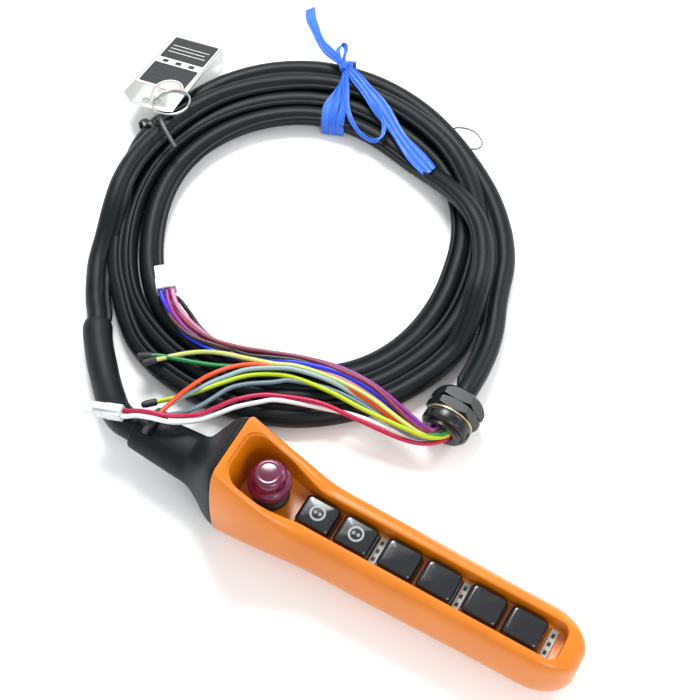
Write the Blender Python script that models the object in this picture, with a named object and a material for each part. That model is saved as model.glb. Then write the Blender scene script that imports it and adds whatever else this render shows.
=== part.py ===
"""Pendant control station with its coiled cable, as separate parts.

Metres, +Z up. The station lies on its flat back along X: the nose at +X, the cable boot at -X and
the buttons facing +Z. The cable is coiled on the +Y side. The origin is the middle of the station's
footprint on the surface that it lies on.
"""
import math

import bmesh
import bpy
from mathutils import Matrix, Vector

# ---------------------------------------------------------------- driving dimensions
GAP = 0.0003                 # clearance between touching solids

# station body along X
BOOT_END_X = -0.1605
COLLAR_X = -0.0830           # where the orange shell ends and the boot begins
NOSE_START_X = 0.1300
NOSE_X = 0.1605
NOSE_VANISH_X = 0.1612       # where the nose's curve would close
WAIST_X = -0.0050
SWEEP_X = -0.0200            # the hood's rim starts to rise here, towards the boot

# station body across Y and Z
HEAD_HALF = 0.0325
WAIST_HALF = 0.0270
NOSE_HALF = 0.0245
FOOT_HALF = 0.0100           # half width of the flat strip on the back
BELLY_Z = 0.0240             # height where the body is widest
RIM_Z = 0.0520
HOOD_Z = 0.0860
HOOD_POWER = 1.7
RIM_HALF_WAIST = 0.0150
RIM_HALF_HEAD = 0.0195
WALL = 0.0030

# shells
SPLIT_Z = 0.0100             # parting plane between rear cover and front housing
SEAM = 0.0014                # seam height, filled by the gasket
CEILING_Z = 0.0355           # underside of the panel that carries the buttons
FLOOR_Z = 0.0380             # top of that panel, the well's floor
CAVITY_START_X = -0.0800
CAVITY_END_X = 0.1500

# well
WELL_HALF = 0.0118
WELL_END_X = 0.1465
WELL_CORNER = 0.0060
ESTOP_X = -0.0570
POCKET_BACK_X = -0.0765      # squarish pocket round the stop button
POCKET_HALF = 0.0172
POCKET_CORNER = 0.0090
WELL_TOP_Z = 0.1000

# buttons, in three pairs
BUTTON_X = (-0.0225, 0.0050, 0.0360, 0.0635, 0.0945, 0.1220)
BUTTON_LENGTH = 0.0250
BUTTON_WIDTH = 0.0212
BUTTON_CORNER = 0.0030
BUTTON_TAPER = 0.955         # width at the shoulder as a share of the width at the base
BUTTON_BOTTOM_Z = 0.0325
BUTTON_SHOULDER_Z = 0.0452
BUTTON_TOP_Z = 0.0486
FLANGE_THICKNESS = 0.0025
FLANGE_EXTRA = 0.0010
PLUNGER_R = 0.0030
PLUNGER_BOTTOM_Z = 0.0150
BUTTON_TRAVEL = 0.0040

# labels between the pairs
LABEL_X = (0.0205, 0.0790, 0.1388)
LABEL_SIZE = (0.0046, 0.0200, 0.0006)

# contact gear
BLOCK_BOTTOM_Z = 0.0075
BLOCK_TOP_Z = 0.0225
BLOCK_HALF_WIDTH = 0.0130
BLOCK_MARGIN = 0.0105        # block length beyond its outer plungers
CARRIER_Z = (0.0050, 0.0072)
CARRIER_RIBS_X = (-0.0560, -0.0080, 0.0500, 0.1090)
RIB_TOP_Z = 0.0047
POST_X = (0.0205, 0.0790)    # cover bosses that pass through the carrier

# stop button
HEAD_R = 0.0140
HEAD_BOTTOM_Z = 0.0555
HEAD_TOP_Z = 0.0725
COLLAR_R = 0.0120
COLLAR_TOP_Z = 0.0450
BARREL_R = 0.0080
STEM_R = 0.0045
ESTOP_TRAVEL = 0.0050

# cable
CABLE_R = 0.0082
SLEEVE_R = 0.0103
ENTRY_Z = 0.0260             # cable axis where it leaves the boot
COIL_CENTRE = (-0.1490, 0.1890)
COIL_INNER_R = 0.1045
COIL_OUTER_R = 0.1490
COIL_HEIGHT = 0.0176
GLAND_AXIS_Z = 0.0173

# things on the coil
TWINE_ANGLE = 107.0
TWINE_HALF = 0.0025
TWINE_ENDS = (((-0.2200, 0.3480, 0.0215), (-0.2360, 0.3600, 0.0205), (-0.2490, 0.3735, 0.0190)),
              ((-0.1660, 0.3160, 0.0230), (-0.1480, 0.2920, 0.0235), (-0.1160, 0.2830, 0.0235),
               (-0.0900, 0.2745, 0.0235)))
EYE_CENTRE = (-0.0855, 0.3255, 0.0193)

# screws
COVER_SCREWS = ((-0.0745, 0.0125), (-0.0745, -0.0125), (0.0205, 0.0), (0.0790, 0.0),
                (0.1395, 0.0))
SCREW_SHANK_R = 0.0014
SCREW_HEAD_R = 0.0030
SCREW_HEAD_Z = (0.0015, 0.0037)
COVER_BOSS_Z = 0.0070
SCREW_TIP_Z = 0.0210
BOSS_R = 0.0026

UP = Vector((0.0, 0.0, 1.0))


# ---------------------------------------------------------------- materials
def make_material(name, colour, roughness, metallic=0.0):
    material = bpy.data.materials.new(name)
    material.use_nodes = True
    shader = material.node_tree.nodes["Principled BSDF"]
    shader.inputs["Base Color"].default_value = (*colour, 1.0)
    shader.inputs["Roughness"].default_value = roughness
    shader.inputs["Metallic"].default_value = metallic
    return material


def make_materials():
    return {
        "orange": make_material("orange_plastic", (0.72, 0.24, 0.015), 0.38),
        "rubber": make_material("black_rubber", (0.018, 0.020, 0.022), 0.55),
        "jacket": make_material("cable_jacket", (0.016, 0.020, 0.022), 0.45),
        "black": make_material("black_plastic", (0.020, 0.023, 0.026), 0.35),
        "grey": make_material("grey_plastic", (0.35, 0.36, 0.36), 0.50),
        "red": make_material("red_plastic", (0.30, 0.010, 0.045), 0.28),
        "white": make_material("white_plastic", (0.80, 0.82, 0.80), 0.40),
        "label": make_material("label_film", (0.62, 0.64, 0.62), 0.45),
        "steel": make_material("steel", (0.60, 0.62, 0.62), 0.30, 1.0),
        "brass": make_material("brass", (0.62, 0.48, 0.25), 0.35, 1.0),
        "twine": make_material("blue_twine", (0.06, 0.22, 0.80), 0.40),
        "wire": make_material("wire_insulation", (0.55, 0.05, 0.12), 0.40),
    }


# ---------------------------------------------------------------- small helpers
def clear_scene():
    for old in list(bpy.data.objects):
        bpy.data.objects.remove(old, do_unlink=True)


def smoothstep(t):
    t = min(1.0, max(0.0, t))
    return t * t * (3.0 - 2.0 * t)


def blend(a, b, t):
    return a + (b - a) * t


def add_object(name, mesh, material, smooth_angle=None):
    if material is not None:
        mesh.materials.append(material)
    if smooth_angle is not None:
        mesh.shade_smooth()
        mesh.set_sharp_from_angle(angle=math.radians(smooth_angle))
    item = bpy.data.objects.new(name, mesh)
    bpy.context.scene.collection.objects.link(item)
    return item


def mesh_from_bmesh(name, bm):
    bmesh.ops.recalc_face_normals(bm, faces=bm.faces)
    mesh = bpy.data.meshes.new(name)
    bm.to_mesh(mesh)
    bm.free()
    return mesh


def loft_mesh(name, loops):
    """A closed solid through loops of equal point count, with flat ends."""
    bm = bmesh.new()
    rings = [[bm.verts.new(point) for point in loop] for loop in loops]
    count = len(loops[0])
    for lower, upper in zip(rings, rings[1:]):
        for i in range(count):
            j = (i + 1) % count
            bm.faces.new((lower[i], lower[j], upper[j], upper[i]))
    bm.faces.new(rings[0])
    bm.faces.new(rings[-1])
    return mesh_from_bmesh(name, bm)


def circle(radius, steps, phase=0.0):
    angles = [phase + 2.0 * math.pi * k / steps for k in range(steps)]
    return [(radius * math.cos(a), radius * math.sin(a)) for a in angles]


def rounded_rectangle(half_x, half_y, corner, steps=3):
    """Outline points of a rectangle with round corners, anticlockwise."""
    points = []
    for quarter, (sx, sy) in enumerate(((1, 1), (-1, 1), (-1, -1), (1, -1))):
        for k in range(steps + 1):
            angle = math.pi / 2.0 * (quarter + k / steps)
            x = sx * (half_x - corner) + corner * math.cos(angle)
            y = sy * (half_y - corner) + corner * math.sin(angle)
            points.append((x, y))
    return points


def prism_mesh(name, outline, levels, origin=(0.0, 0.0)):
    """Stack of scaled copies of an XY outline: levels holds (z, scale_x, scale_y)."""
    loops = []
    for z, scale_x, scale_y in levels:
        loops.append([(origin[0] + x * scale_x, origin[1] + y * scale_y, z) for x, y in outline])
    return loft_mesh(name, loops)


def turned_mesh(name, profile, steps, frame=None):
    """Closed profile of (radius, height) turned round the height axis; frame places it."""
    bm = bmesh.new()
    frame = frame or Matrix.Identity(4)
    rings = []
    for radius, height in profile:
        if radius <= 0.0:
            rings.append([bm.verts.new(frame @ Vector((0.0, 0.0, height)))])
        else:
            ring = [bm.verts.new(frame @ Vector((x, y, height))) for x, y in circle(radius, steps)]
            rings.append(ring)
    hollow = all(len(ring) > 1 for ring in rings)
    pairs = list(zip(rings, rings[1:]))
    if hollow:
        pairs.append((rings[-1], rings[0]))
    for lower, upper in pairs:
        for i in range(steps):
            j = (i + 1) % steps
            if len(lower) == 1:
                bm.faces.new((lower[0], upper[j], upper[i]))
            elif len(upper) == 1:
                bm.faces.new((lower[i], lower[j], upper[0]))
            else:
                bm.faces.new((lower[i], lower[j], upper[j], upper[i]))
    return mesh_from_bmesh(name, bm)


def box_mesh(name, low, high):
    bm = bmesh.new()
    bmesh.ops.create_cube(bm, size=1.0)
    size = [b - a for a, b in zip(low, high)]
    middle = [(a + b) / 2.0 for a, b in zip(low, high)]
    bm.transform(Matrix.Translation(middle) @ Matrix.Diagonal((*size, 1.0)))
    return mesh_from_bmesh(name, bm)


def combine(target, mesh, operation):
    """Apply a Boolean with a temporary object made from mesh, and keep one clean result."""
    tool = bpy.data.objects.new("tool", mesh)
    bpy.context.scene.collection.objects.link(tool)
    modifier = target.modifiers.new("boolean", "BOOLEAN")
    modifier.operation = operation
    modifier.solver = "EXACT"
    modifier.object = tool
    depsgraph = bpy.context.evaluated_depsgraph_get()
    result = bpy.data.meshes.new_from_object(target.evaluated_get(depsgraph))
    target.modifiers.clear()
    old = target.data
    target.data = result
    bpy.data.meshes.remove(old)
    bpy.data.objects.remove(tool, do_unlink=True)


def set_origin(item, origin):
    """Move the object's origin without moving its mesh in the world."""
    item.data.transform(Matrix.Translation(-Vector(origin)))
    item.location = origin


def cut(target, mesh):
    combine(target, mesh, "DIFFERENCE")


def join(target, mesh):
    combine(target, mesh, "UNION")


def axis_frame(origin, direction):
    """Matrix whose Z axis runs along direction and whose X axis stays level."""
    z_axis = Vector(direction).normalized()
    side = UP.cross(z_axis)
    x_axis = side.normalized() if side.length > 1e-6 else Vector((1.0, 0.0, 0.0))
    y_axis = z_axis.cross(x_axis)
    rotation = Matrix((x_axis, y_axis, z_axis)).transposed().to_4x4()
    return Matrix.Translation(origin) @ rotation


def smooth_route(route, spacing):
    """Points every spacing along a Catmull-Rom curve through the route's points."""
    points = [Vector(p) for p in route]
    ends = [2.0 * points[0] - points[1]] + points + [2.0 * points[-1] - points[-2]]
    fine = []
    for i in range(1, len(ends) - 2):
        a, b, c, d = ends[i - 1:i + 3]
        for k in range(24):
            t = k / 24.0
            fine.append(0.5 * (2.0 * b + (c - a) * t + (2.0 * a - 5.0 * b + 4.0 * c - d) * t ** 2
                               + (3.0 * b - a - 3.0 * c + d) * t ** 3))
    fine.append(points[-1])
    lengths = [0.0]
    for a, b in zip(fine, fine[1:]):
        lengths.append(lengths[-1] + (b - a).length)
    count = max(3, round(lengths[-1] / spacing))
    picked = []
    index = 0
    for k in range(count + 1):
        target = lengths[-1] * k / count
        while index < len(fine) - 2 and lengths[index + 1] < target:
            index += 1
        span = lengths[index + 1] - lengths[index]
        part = (target - lengths[index]) / span if span > 0.0 else 0.0
        picked.append(fine[index].lerp(fine[index + 1], part))
    return picked


def tube(name, points, radius, material, resolution=2):
    """A round tube with closed ends along points."""
    curve = bpy.data.curves.new(name, "CURVE")
    curve.dimensions = "3D"
    curve.bevel_depth = radius
    curve.bevel_resolution = resolution
    curve.use_fill_caps = True
    curve.twist_mode = "MINIMUM"
    curve.render_resolution_u = 0
    spline = curve.splines.new("POLY")
    spline.points.add(len(points) - 1)
    for slot, point in zip(spline.points, points):
        slot.co = (*point, 1.0)
    curve.materials.append(material)
    item = bpy.data.objects.new(name, curve)
    bpy.context.scene.collection.objects.link(item)
    return item


# ---------------------------------------------------------------- body outline
def half_width(x):
    """Half width of the body at its widest height."""
    if x < WAIST_X:
        return blend(HEAD_HALF, WAIST_HALF, smoothstep((x - COLLAR_X) / (WAIST_X - COLLAR_X)))
    return blend(WAIST_HALF, NOSE_HALF, smoothstep((x - WAIST_X) / (NOSE_START_X - WAIST_X)))


def rim_height(x):
    rise = max(0.0, (SWEEP_X - x) / (SWEEP_X - COLLAR_X))
    return RIM_Z + (HOOD_Z - RIM_Z) * rise ** HOOD_POWER


def rim_half(x):
    start = ESTOP_X + 0.0082
    return blend(RIM_HALF_HEAD, RIM_HALF_WAIST, smoothstep((x - start) / 0.030))


def nose_scale(x):
    """Shrinks the section towards the tip so that the nose is round."""
    t = max(0.0, (x - NOSE_START_X) / (NOSE_VANISH_X - NOSE_START_X))
    return (1.0 - t ** 2.3) ** (1.0 / 2.3)


def body_section(x, inset, bottom, top, low_steps=4, high_steps=6):
    """Closed YZ outline of the body at x, moved in by inset and cut flat at top."""
    scale = nose_scale(x)
    half = half_width(x) * scale - inset
    rim = max(rim_half(x) * scale - inset, 0.001)
    foot = FOOT_HALF * scale
    height = BELLY_Z + (rim_height(x) - BELLY_Z) * (0.35 + 0.65 * scale)
    base = BELLY_Z - (BELLY_Z - bottom) * (0.45 + 0.55 * scale)
    right = [(foot, base)]
    for k in range(1, low_steps + 1):
        angle = math.pi / 2.0 * k / low_steps
        right.append((foot + (half - foot) * math.sin(angle),
                      BELLY_Z - (BELLY_Z - base) * math.cos(angle)))
    last = math.pi / 2.0
    if top < height:
        last = math.asin((top - BELLY_Z) / (height - BELLY_Z))
    for k in range(1, high_steps + 1):
        angle = last * k / high_steps
        right.append((rim + (half - rim) * math.cos(angle),
                      BELLY_Z + (height - BELLY_Z) * math.sin(angle)))
    left = [(-y, z) for y, z in reversed(right)]
    return [(x, y, z) for y, z in right + left]


def stations(start, end, count):
    """X positions that are closer together in the round nose."""
    plain = [blend(start, NOSE_START_X, k / count) for k in range(count)]
    tip = end - NOSE_START_X
    round_part = [NOSE_START_X + tip * math.sin(math.pi / 2.0 * k / 6) for k in range(7)]
    return plain + round_part


def outer_body():
    loops = [body_section(x, 0.0, 0.0, 1.0) for x in stations(COLLAR_X, NOSE_X, 14)]
    return loft_mesh("outer_body", loops)


def cavity():
    loops = [body_section(x, WALL, WALL, CEILING_Z)
             for x in stations(CAVITY_START_X, CAVITY_END_X, 8)]
    return loft_mesh("cavity", loops)


def well_outline(grow):
    """Plan of the well: a squarish pocket at the stop button that narrows into the button slot."""
    half = WELL_HALF + grow
    pocket = POCKET_HALF + grow
    corner = POCKET_CORNER + grow
    right = [(POCKET_BACK_X - grow, 0.0)]
    for k in range(6):
        angle = math.pi - math.pi / 2.0 * k / 5
        right.append((POCKET_BACK_X + POCKET_CORNER + corner * math.cos(angle),
                      POCKET_HALF - POCKET_CORNER + corner * math.sin(angle)))
    right += [(-0.0520, pocket), (-0.0300, half + 0.0006), (-0.0240, half)]
    for k in range(4):
        angle = math.pi / 2.0 * (1.0 - k / 3)
        right.append((WELL_END_X - WELL_CORNER + (WELL_CORNER + grow) * math.cos(angle),
                      half - WELL_CORNER + WELL_CORNER * math.sin(angle)))
    left = [(x, -y) for x, y in reversed(right[1:])]
    return right + left


def well():
    """The well's space: its sides lean out a little towards the rim."""
    floor = [(x, y, FLOOR_Z) for x, y in well_outline(0.0)]
    top = [(x, y, WELL_TOP_Z) for x, y in well_outline(0.0025)]
    return loft_mesh("well", [floor, top])


# ---------------------------------------------------------------- housing
def front_housing(materials):
    shell = add_object("front_housing", outer_body(), materials["orange"])
    cut(shell, cavity())
    cut(shell, well())
    low = SPLIT_Z + SEAM
    cut(shell, box_mesh("below_seam", (-0.2, -0.1, -0.05), (0.3, 0.1, low)))
    for x, y in COVER_SCREWS:
        boss = prism_mesh("boss", circle(BOSS_R, 12), ((low + 0.0004, 1, 1), (0.0365, 1, 1)), (x, y))
        join(shell, boss)
    for x, y in COVER_SCREWS:
        pilot = prism_mesh("pilot", circle(SCREW_SHANK_R + GAP, 10),
                           ((low - 0.002, 1, 1), (SCREW_TIP_Z + 0.001, 1, 1)), (x, y))
        cut(shell, pilot)
    for x in BUTTON_X:
        hole = rounded_rectangle(BUTTON_LENGTH / 2 + GAP, BUTTON_WIDTH / 2 + GAP, BUTTON_CORNER)
        cut(shell, prism_mesh("window", hole, ((0.0340, 1, 1), (0.0400, 1, 1)), (x, 0.0)))
    hole = prism_mesh("stop_hole", circle(BARREL_R + GAP, 20), ((0.034, 1, 1), (0.040, 1, 1)),
                      (ESTOP_X, 0.0))
    cut(shell, hole)
    entry = axis_frame((COLLAR_X - 0.002, 0.0, ENTRY_Z), (1, 0, 0))
    cut(shell, turned_mesh("entry", ((0.0, 0.0), (0.0115, 0.0), (0.0115, 0.008), (0.0, 0.008)), 20,
                           entry))
    finish_smooth(shell, 35)
    return shell


def finish_smooth(item, angle):
    item.data.shade_smooth()
    item.data.set_sharp_from_angle(angle=math.radians(angle))


def rear_cover(materials):
    cover = add_object("rear_cover", outer_body(), materials["orange"])
    cut(cover, cavity())
    cut(cover, box_mesh("above_seam", (-0.2, -0.1, SPLIT_Z), (0.3, 0.1, 0.2)))
    for x, y in COVER_SCREWS:
        boss = prism_mesh("boss", circle(0.0052, 12), ((0.0018, 1, 1), (COVER_BOSS_Z, 1, 1)), (x, y))
        join(cover, boss)
    for x in CARRIER_RIBS_X:
        join(cover, box_mesh("rib", (x - 0.001, -0.0120, 0.0020), (x + 0.001, 0.0120, RIB_TOP_Z)))
    for x, y in COVER_SCREWS:
        seat = SCREW_HEAD_Z[1] + GAP
        bore = prism_mesh("bore", circle(SCREW_SHANK_R + GAP, 10), ((-0.001, 1, 1), (0.009, 1, 1)),
                          (x, y))
        recess = prism_mesh("recess", circle(SCREW_HEAD_R + GAP, 14),
                            ((-0.001, 1, 1), (seat, 1, 1)), (x, y))
        cut(cover, recess)
        cut(cover, bore)
    finish_smooth(cover, 35)
    return cover


def gasket(materials):
    """Flat ring of rubber in the seam."""
    z = SPLIT_Z + SEAM / 2.0
    thickness = SEAM - 2.0 * GAP
    outline = [body_section(x, 0.0006, 0.0, 1.0) for x in stations(COLLAR_X + 0.0006, 0.1590, 8)]
    ring = add_object("housing_gasket", loft_mesh("gasket", outline), materials["rubber"])
    hole = [body_section(x, WALL - 0.0006, 0.001, 1.0)
            for x in stations(CAVITY_START_X - 0.0006, CAVITY_END_X + 0.0006, 8)]
    cut(ring, loft_mesh("gasket_hole", hole))
    cut(ring, box_mesh("over", (-0.2, -0.1, z + thickness / 2), (0.3, 0.1, 0.2)))
    cut(ring, box_mesh("under", (-0.2, -0.1, -0.1), (0.3, 0.1, z - thickness / 2)))
    return ring


def cover_screws(materials):
    for number, (x, y) in enumerate(COVER_SCREWS, 1):
        low, high = SCREW_HEAD_Z
        profile = ((0.0, low), (SCREW_HEAD_R, low), (SCREW_HEAD_R, high),
                   (SCREW_SHANK_R, high), (SCREW_SHANK_R, SCREW_TIP_Z), (0.0, SCREW_TIP_Z))
        mesh = turned_mesh("screw", profile, 12, Matrix.Translation((x, y, 0.0)))
        screw = add_object(f"housing_screw_{number}", mesh, materials["steel"], 30)
        slot = box_mesh("slot", (x - 0.003, y - 0.0004, 0.0), (x + 0.003, y + 0.0004, low + 0.001))
        cut(screw, slot)


# ---------------------------------------------------------------- boot and entry
def boot_section(x, inset, steps=7):
    """The boot changes from the body's egg-shaped section to a round neck."""
    neck_start = -0.1180
    t = smoothstep((COLLAR_X - x) / (COLLAR_X - neck_start))
    base = body_section(COLLAR_X, 0.0012 + inset, 0.0012 + inset, 1.0, steps, steps)
    neck = blend(0.0168, 0.0138, min(1.0, max(0.0, (neck_start - x) / 0.0425))) - inset
    points = []
    for _, y, z in base:
        angle = math.atan2(z - 0.5 * HOOD_Z, y)
        round_y = neck * math.cos(angle)
        round_z = ENTRY_Z + neck * math.sin(angle)
        points.append((x, blend(y, round_y, t), blend(z, round_z, t)))
    return points


def cable_boot(materials):
    xs = [blend(COLLAR_X - GAP, -0.1180, k / 8) for k in range(9)]
    xs += [blend(-0.1180, BOOT_END_X, k / 5) for k in range(1, 6)]
    boot = add_object("cable_boot", loft_mesh("boot", [boot_section(x, 0.0) for x in xs]),
                      materials["rubber"])
    inner = [blend(COLLAR_X + 0.001, -0.1090, k / 6) for k in range(7)]
    cut(boot, loft_mesh("boot_room", [boot_section(x, 0.0040) for x in inner]))
    bore = axis_frame((BOOT_END_X - 0.001, 0.0, ENTRY_Z), (1, 0, 0))
    radius = CABLE_R + GAP
    cut(boot, turned_mesh("bore", ((0.0, 0.0), (radius, 0.0), (radius, 0.070), (0.0, 0.070)), 20,
                          bore))
    finish_smooth(boot, 40)


def cable_entry(materials):
    """The cable's own stretch inside the boot, with its grommet and clamp at the wall."""
    start = BOOT_END_X + GAP
    points = [(blend(start, -0.0765, k / 3), 0.0, ENTRY_Z) for k in range(4)]
    tube("cable_entry", points, CABLE_R, materials["jacket"])
    frame = axis_frame((COLLAR_X - 0.0005, 0.0, ENTRY_Z), (1, 0, 0))
    inner = CABLE_R + GAP
    grommet = turned_mesh("grommet", ((inner, -0.0018), (0.0140, -0.0018), (0.0140, 0.0002),
                                      (0.0111, 0.0002), (0.0111, 0.0040), (inner, 0.0040)), 20, frame)
    add_object("entry_grommet", grommet, materials["rubber"], 30)
    saddle = rounded_rectangle(0.0175, 0.0125, 0.0040)
    clamp_frame = axis_frame((-0.0985, 0.0, ENTRY_Z), (1, 0, 0))
    mesh = loft_mesh("clamp", [[clamp_frame @ Vector((x, y, z)) for x, y in saddle]
                               for z in (0.0, 0.0080)])
    clamp = add_object("cable_clamp", mesh, materials["grey"])
    cut(clamp, turned_mesh("clamp_bore", ((0.0, -0.001), (inner, -0.001), (inner, 0.009),
                                          (0.0, 0.009)), 20, clamp_frame))
    for number, side in enumerate((-1, 1), 1):
        place = Matrix.Translation((-0.0945, side * 0.0132, ENTRY_Z))
        reach = 0.0125
        hole = turned_mesh("hole", ((0.0, -0.02), (0.0018, -0.02), (0.0018, 0.02), (0.0, 0.02)), 10,
                           place)
        cut(clamp, hole)
        profile = ((0.0, -reach - 0.001), (0.0015, -reach - 0.001), (0.0015, reach + GAP),
                   (0.0030, reach + GAP), (0.0030, reach + 0.0024), (0.0, reach + 0.0024))
        screw = turned_mesh("clamp_screw", profile, 10, place)
        add_object(f"clamp_screw_{number}", screw, materials["steel"], 30)


# ---------------------------------------------------------------- contact gear
def pair_centres():
    return [(BUTTON_X[2 * i] + BUTTON_X[2 * i + 1]) / 2.0 for i in range(3)]


def contact_blocks(materials):
    for number, centre in enumerate(pair_centres(), 1):
        half = (BUTTON_X[1] - BUTTON_X[0]) / 2.0
        outline = rounded_rectangle(half + BLOCK_MARGIN, BLOCK_HALF_WIDTH, 0.0015, 2)
        mesh = prism_mesh("block", outline, ((BLOCK_BOTTOM_Z, 1, 1), (BLOCK_TOP_Z, 1, 1)),
                          (centre, 0.0))
        block = add_object(f"contact_block_{number}", mesh, materials["grey"])
        for x in (centre - half, centre + half):
            bore = prism_mesh("bore", circle(PLUNGER_R + 0.0004, 12),
                              ((BLOCK_BOTTOM_Z + 0.002, 1, 1), (BLOCK_TOP_Z + 0.002, 1, 1)), (x, 0.0))
            cut(block, bore)
    outline = rounded_rectangle(0.0130, 0.0130, 0.0020, 2)
    mesh = prism_mesh("block", outline, ((BLOCK_BOTTOM_Z, 1, 1), (BLOCK_TOP_Z, 1, 1)), (ESTOP_X, 0.0))
    block = add_object("stop_contact_block", mesh, materials["grey"])
    bore = prism_mesh("bore", circle(STEM_R + 0.0005, 14),
                      ((BLOCK_BOTTOM_Z + 0.0005, 1, 1), (BLOCK_TOP_Z + 0.002, 1, 1)), (ESTOP_X, 0.0))
    cut(block, bore)


def contact_carrier(materials):
    half = 0.0997
    centre = 0.0318
    outline = rounded_rectangle(half, 0.0120, 0.0020, 2)
    low, high = CARRIER_Z
    mesh = prism_mesh("carrier", outline, ((low, 1, 1), (high, 1, 1)), (centre, 0.0))
    carrier = add_object("contact_carrier", mesh, materials["steel"])
    for x in POST_X:
        hole = prism_mesh("hole", circle(0.0056, 14), ((0.002, 1, 1), (0.010, 1, 1)), (x, 0.0))
        cut(carrier, hole)


def inner_harness(materials):
    """The conductors inside the housing, bundled along the blocks' side."""
    route = [(-0.0745, 0.0005, ENTRY_Z), (-0.0695, 0.0060, 0.0268), (-0.0610, 0.0135, 0.0260),
             (-0.0500, 0.0170, 0.0215), (-0.0360, 0.0174, 0.0160), (0.0, 0.0172, 0.0150),
             (0.0600, 0.0170, 0.0150), (0.1180, 0.0165, 0.0150)]
    tube("inner_harness", smooth_route(route, 0.0120), 0.0024, materials["wire"])


# ---------------------------------------------------------------- springs
def spring_mesh(radius, wire, low, high, turns, origin, per_turn=10, sides=5):
    """Round-wire helix with closed ends."""
    count = int(turns * per_turn)
    rise = (high - low - 2.0 * wire) / count
    bm = bmesh.new()
    rings = []
    for k in range(count + 1):
        angle = 2.0 * math.pi * k / per_turn
        z = low + wire + rise * k
        ring = []
        for i in range(sides):
            turn = 2.0 * math.pi * i / sides
            reach = radius + wire * math.cos(turn)
            ring.append(bm.verts.new((origin[0] + reach * math.cos(angle),
                                      origin[1] + reach * math.sin(angle),
                                      z + wire * math.sin(turn))))
        rings.append(ring)
    for lower, upper in zip(rings, rings[1:]):
        for i in range(sides):
            j = (i + 1) % sides
            bm.faces.new((lower[i], lower[j], upper[j], upper[i]))
    bm.faces.new(rings[0])
    bm.faces.new(rings[-1])
    return mesh_from_bmesh("spring", bm)


def button_springs(materials):
    for number, x in enumerate(BUTTON_X, 1):
        mesh = spring_mesh(0.0042, 0.00045, BLOCK_TOP_Z + GAP, BUTTON_BOTTOM_Z - GAP, 3.5, (x, 0.0))
        spring = add_object(f"button_spring_{number}", mesh, materials["steel"], 40)
        set_origin(spring, (x, 0.0, BLOCK_TOP_Z))


# ---------------------------------------------------------------- buttons
def buttons(materials):
    """Square caps with a domed face, a retaining flange and a plunger, all one piece."""
    outline = rounded_rectangle(BUTTON_LENGTH / 2, BUTTON_WIDTH / 2, BUTTON_CORNER)
    flange_y = 1.0 + FLANGE_EXTRA / (BUTTON_WIDTH / 2)
    flange_top = BUTTON_BOTTOM_Z + FLANGE_THICKNESS
    levels = [(BUTTON_BOTTOM_Z, 1.0, flange_y), (flange_top, 1.0, flange_y),
              (flange_top + 0.0001, 1.0, 1.0), (FLOOR_Z + 0.0010, 1.0, 1.0),
              (BUTTON_SHOULDER_Z, BUTTON_TAPER, BUTTON_TAPER)]
    rise = BUTTON_TOP_Z - BUTTON_SHOULDER_Z
    for k in range(1, 4):
        angle = math.pi / 2.0 * k / 3
        shrink = BUTTON_TAPER - 0.24 * (1.0 - math.cos(angle))
        levels.append((BUTTON_SHOULDER_Z + rise * math.sin(angle), shrink, shrink))
    for number, x in enumerate(BUTTON_X, 1):
        mesh = prism_mesh("button", outline, levels, (x, 0.0))
        button = add_object(f"button_{number}", mesh, materials["black"])
        plunger = prism_mesh("plunger", circle(PLUNGER_R, 12),
                             ((PLUNGER_BOTTOM_Z, 1, 1), (BUTTON_BOTTOM_Z + 0.001, 1, 1)), (x, 0.0))
        join(button, plunger)
        finish_smooth(button, 35)
        set_origin(button, (x, 0.0, BUTTON_BOTTOM_Z))


def labels(materials):
    length, width, height = LABEL_SIZE
    for number, x in enumerate(LABEL_X, 1):
        low = (x - length / 2, -width / 2, FLOOR_Z + GAP)
        high = (x + length / 2, width / 2, FLOOR_Z + GAP + height)
        add_object(f"label_strip_{number}", box_mesh("label", low, high), materials["label"])


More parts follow.
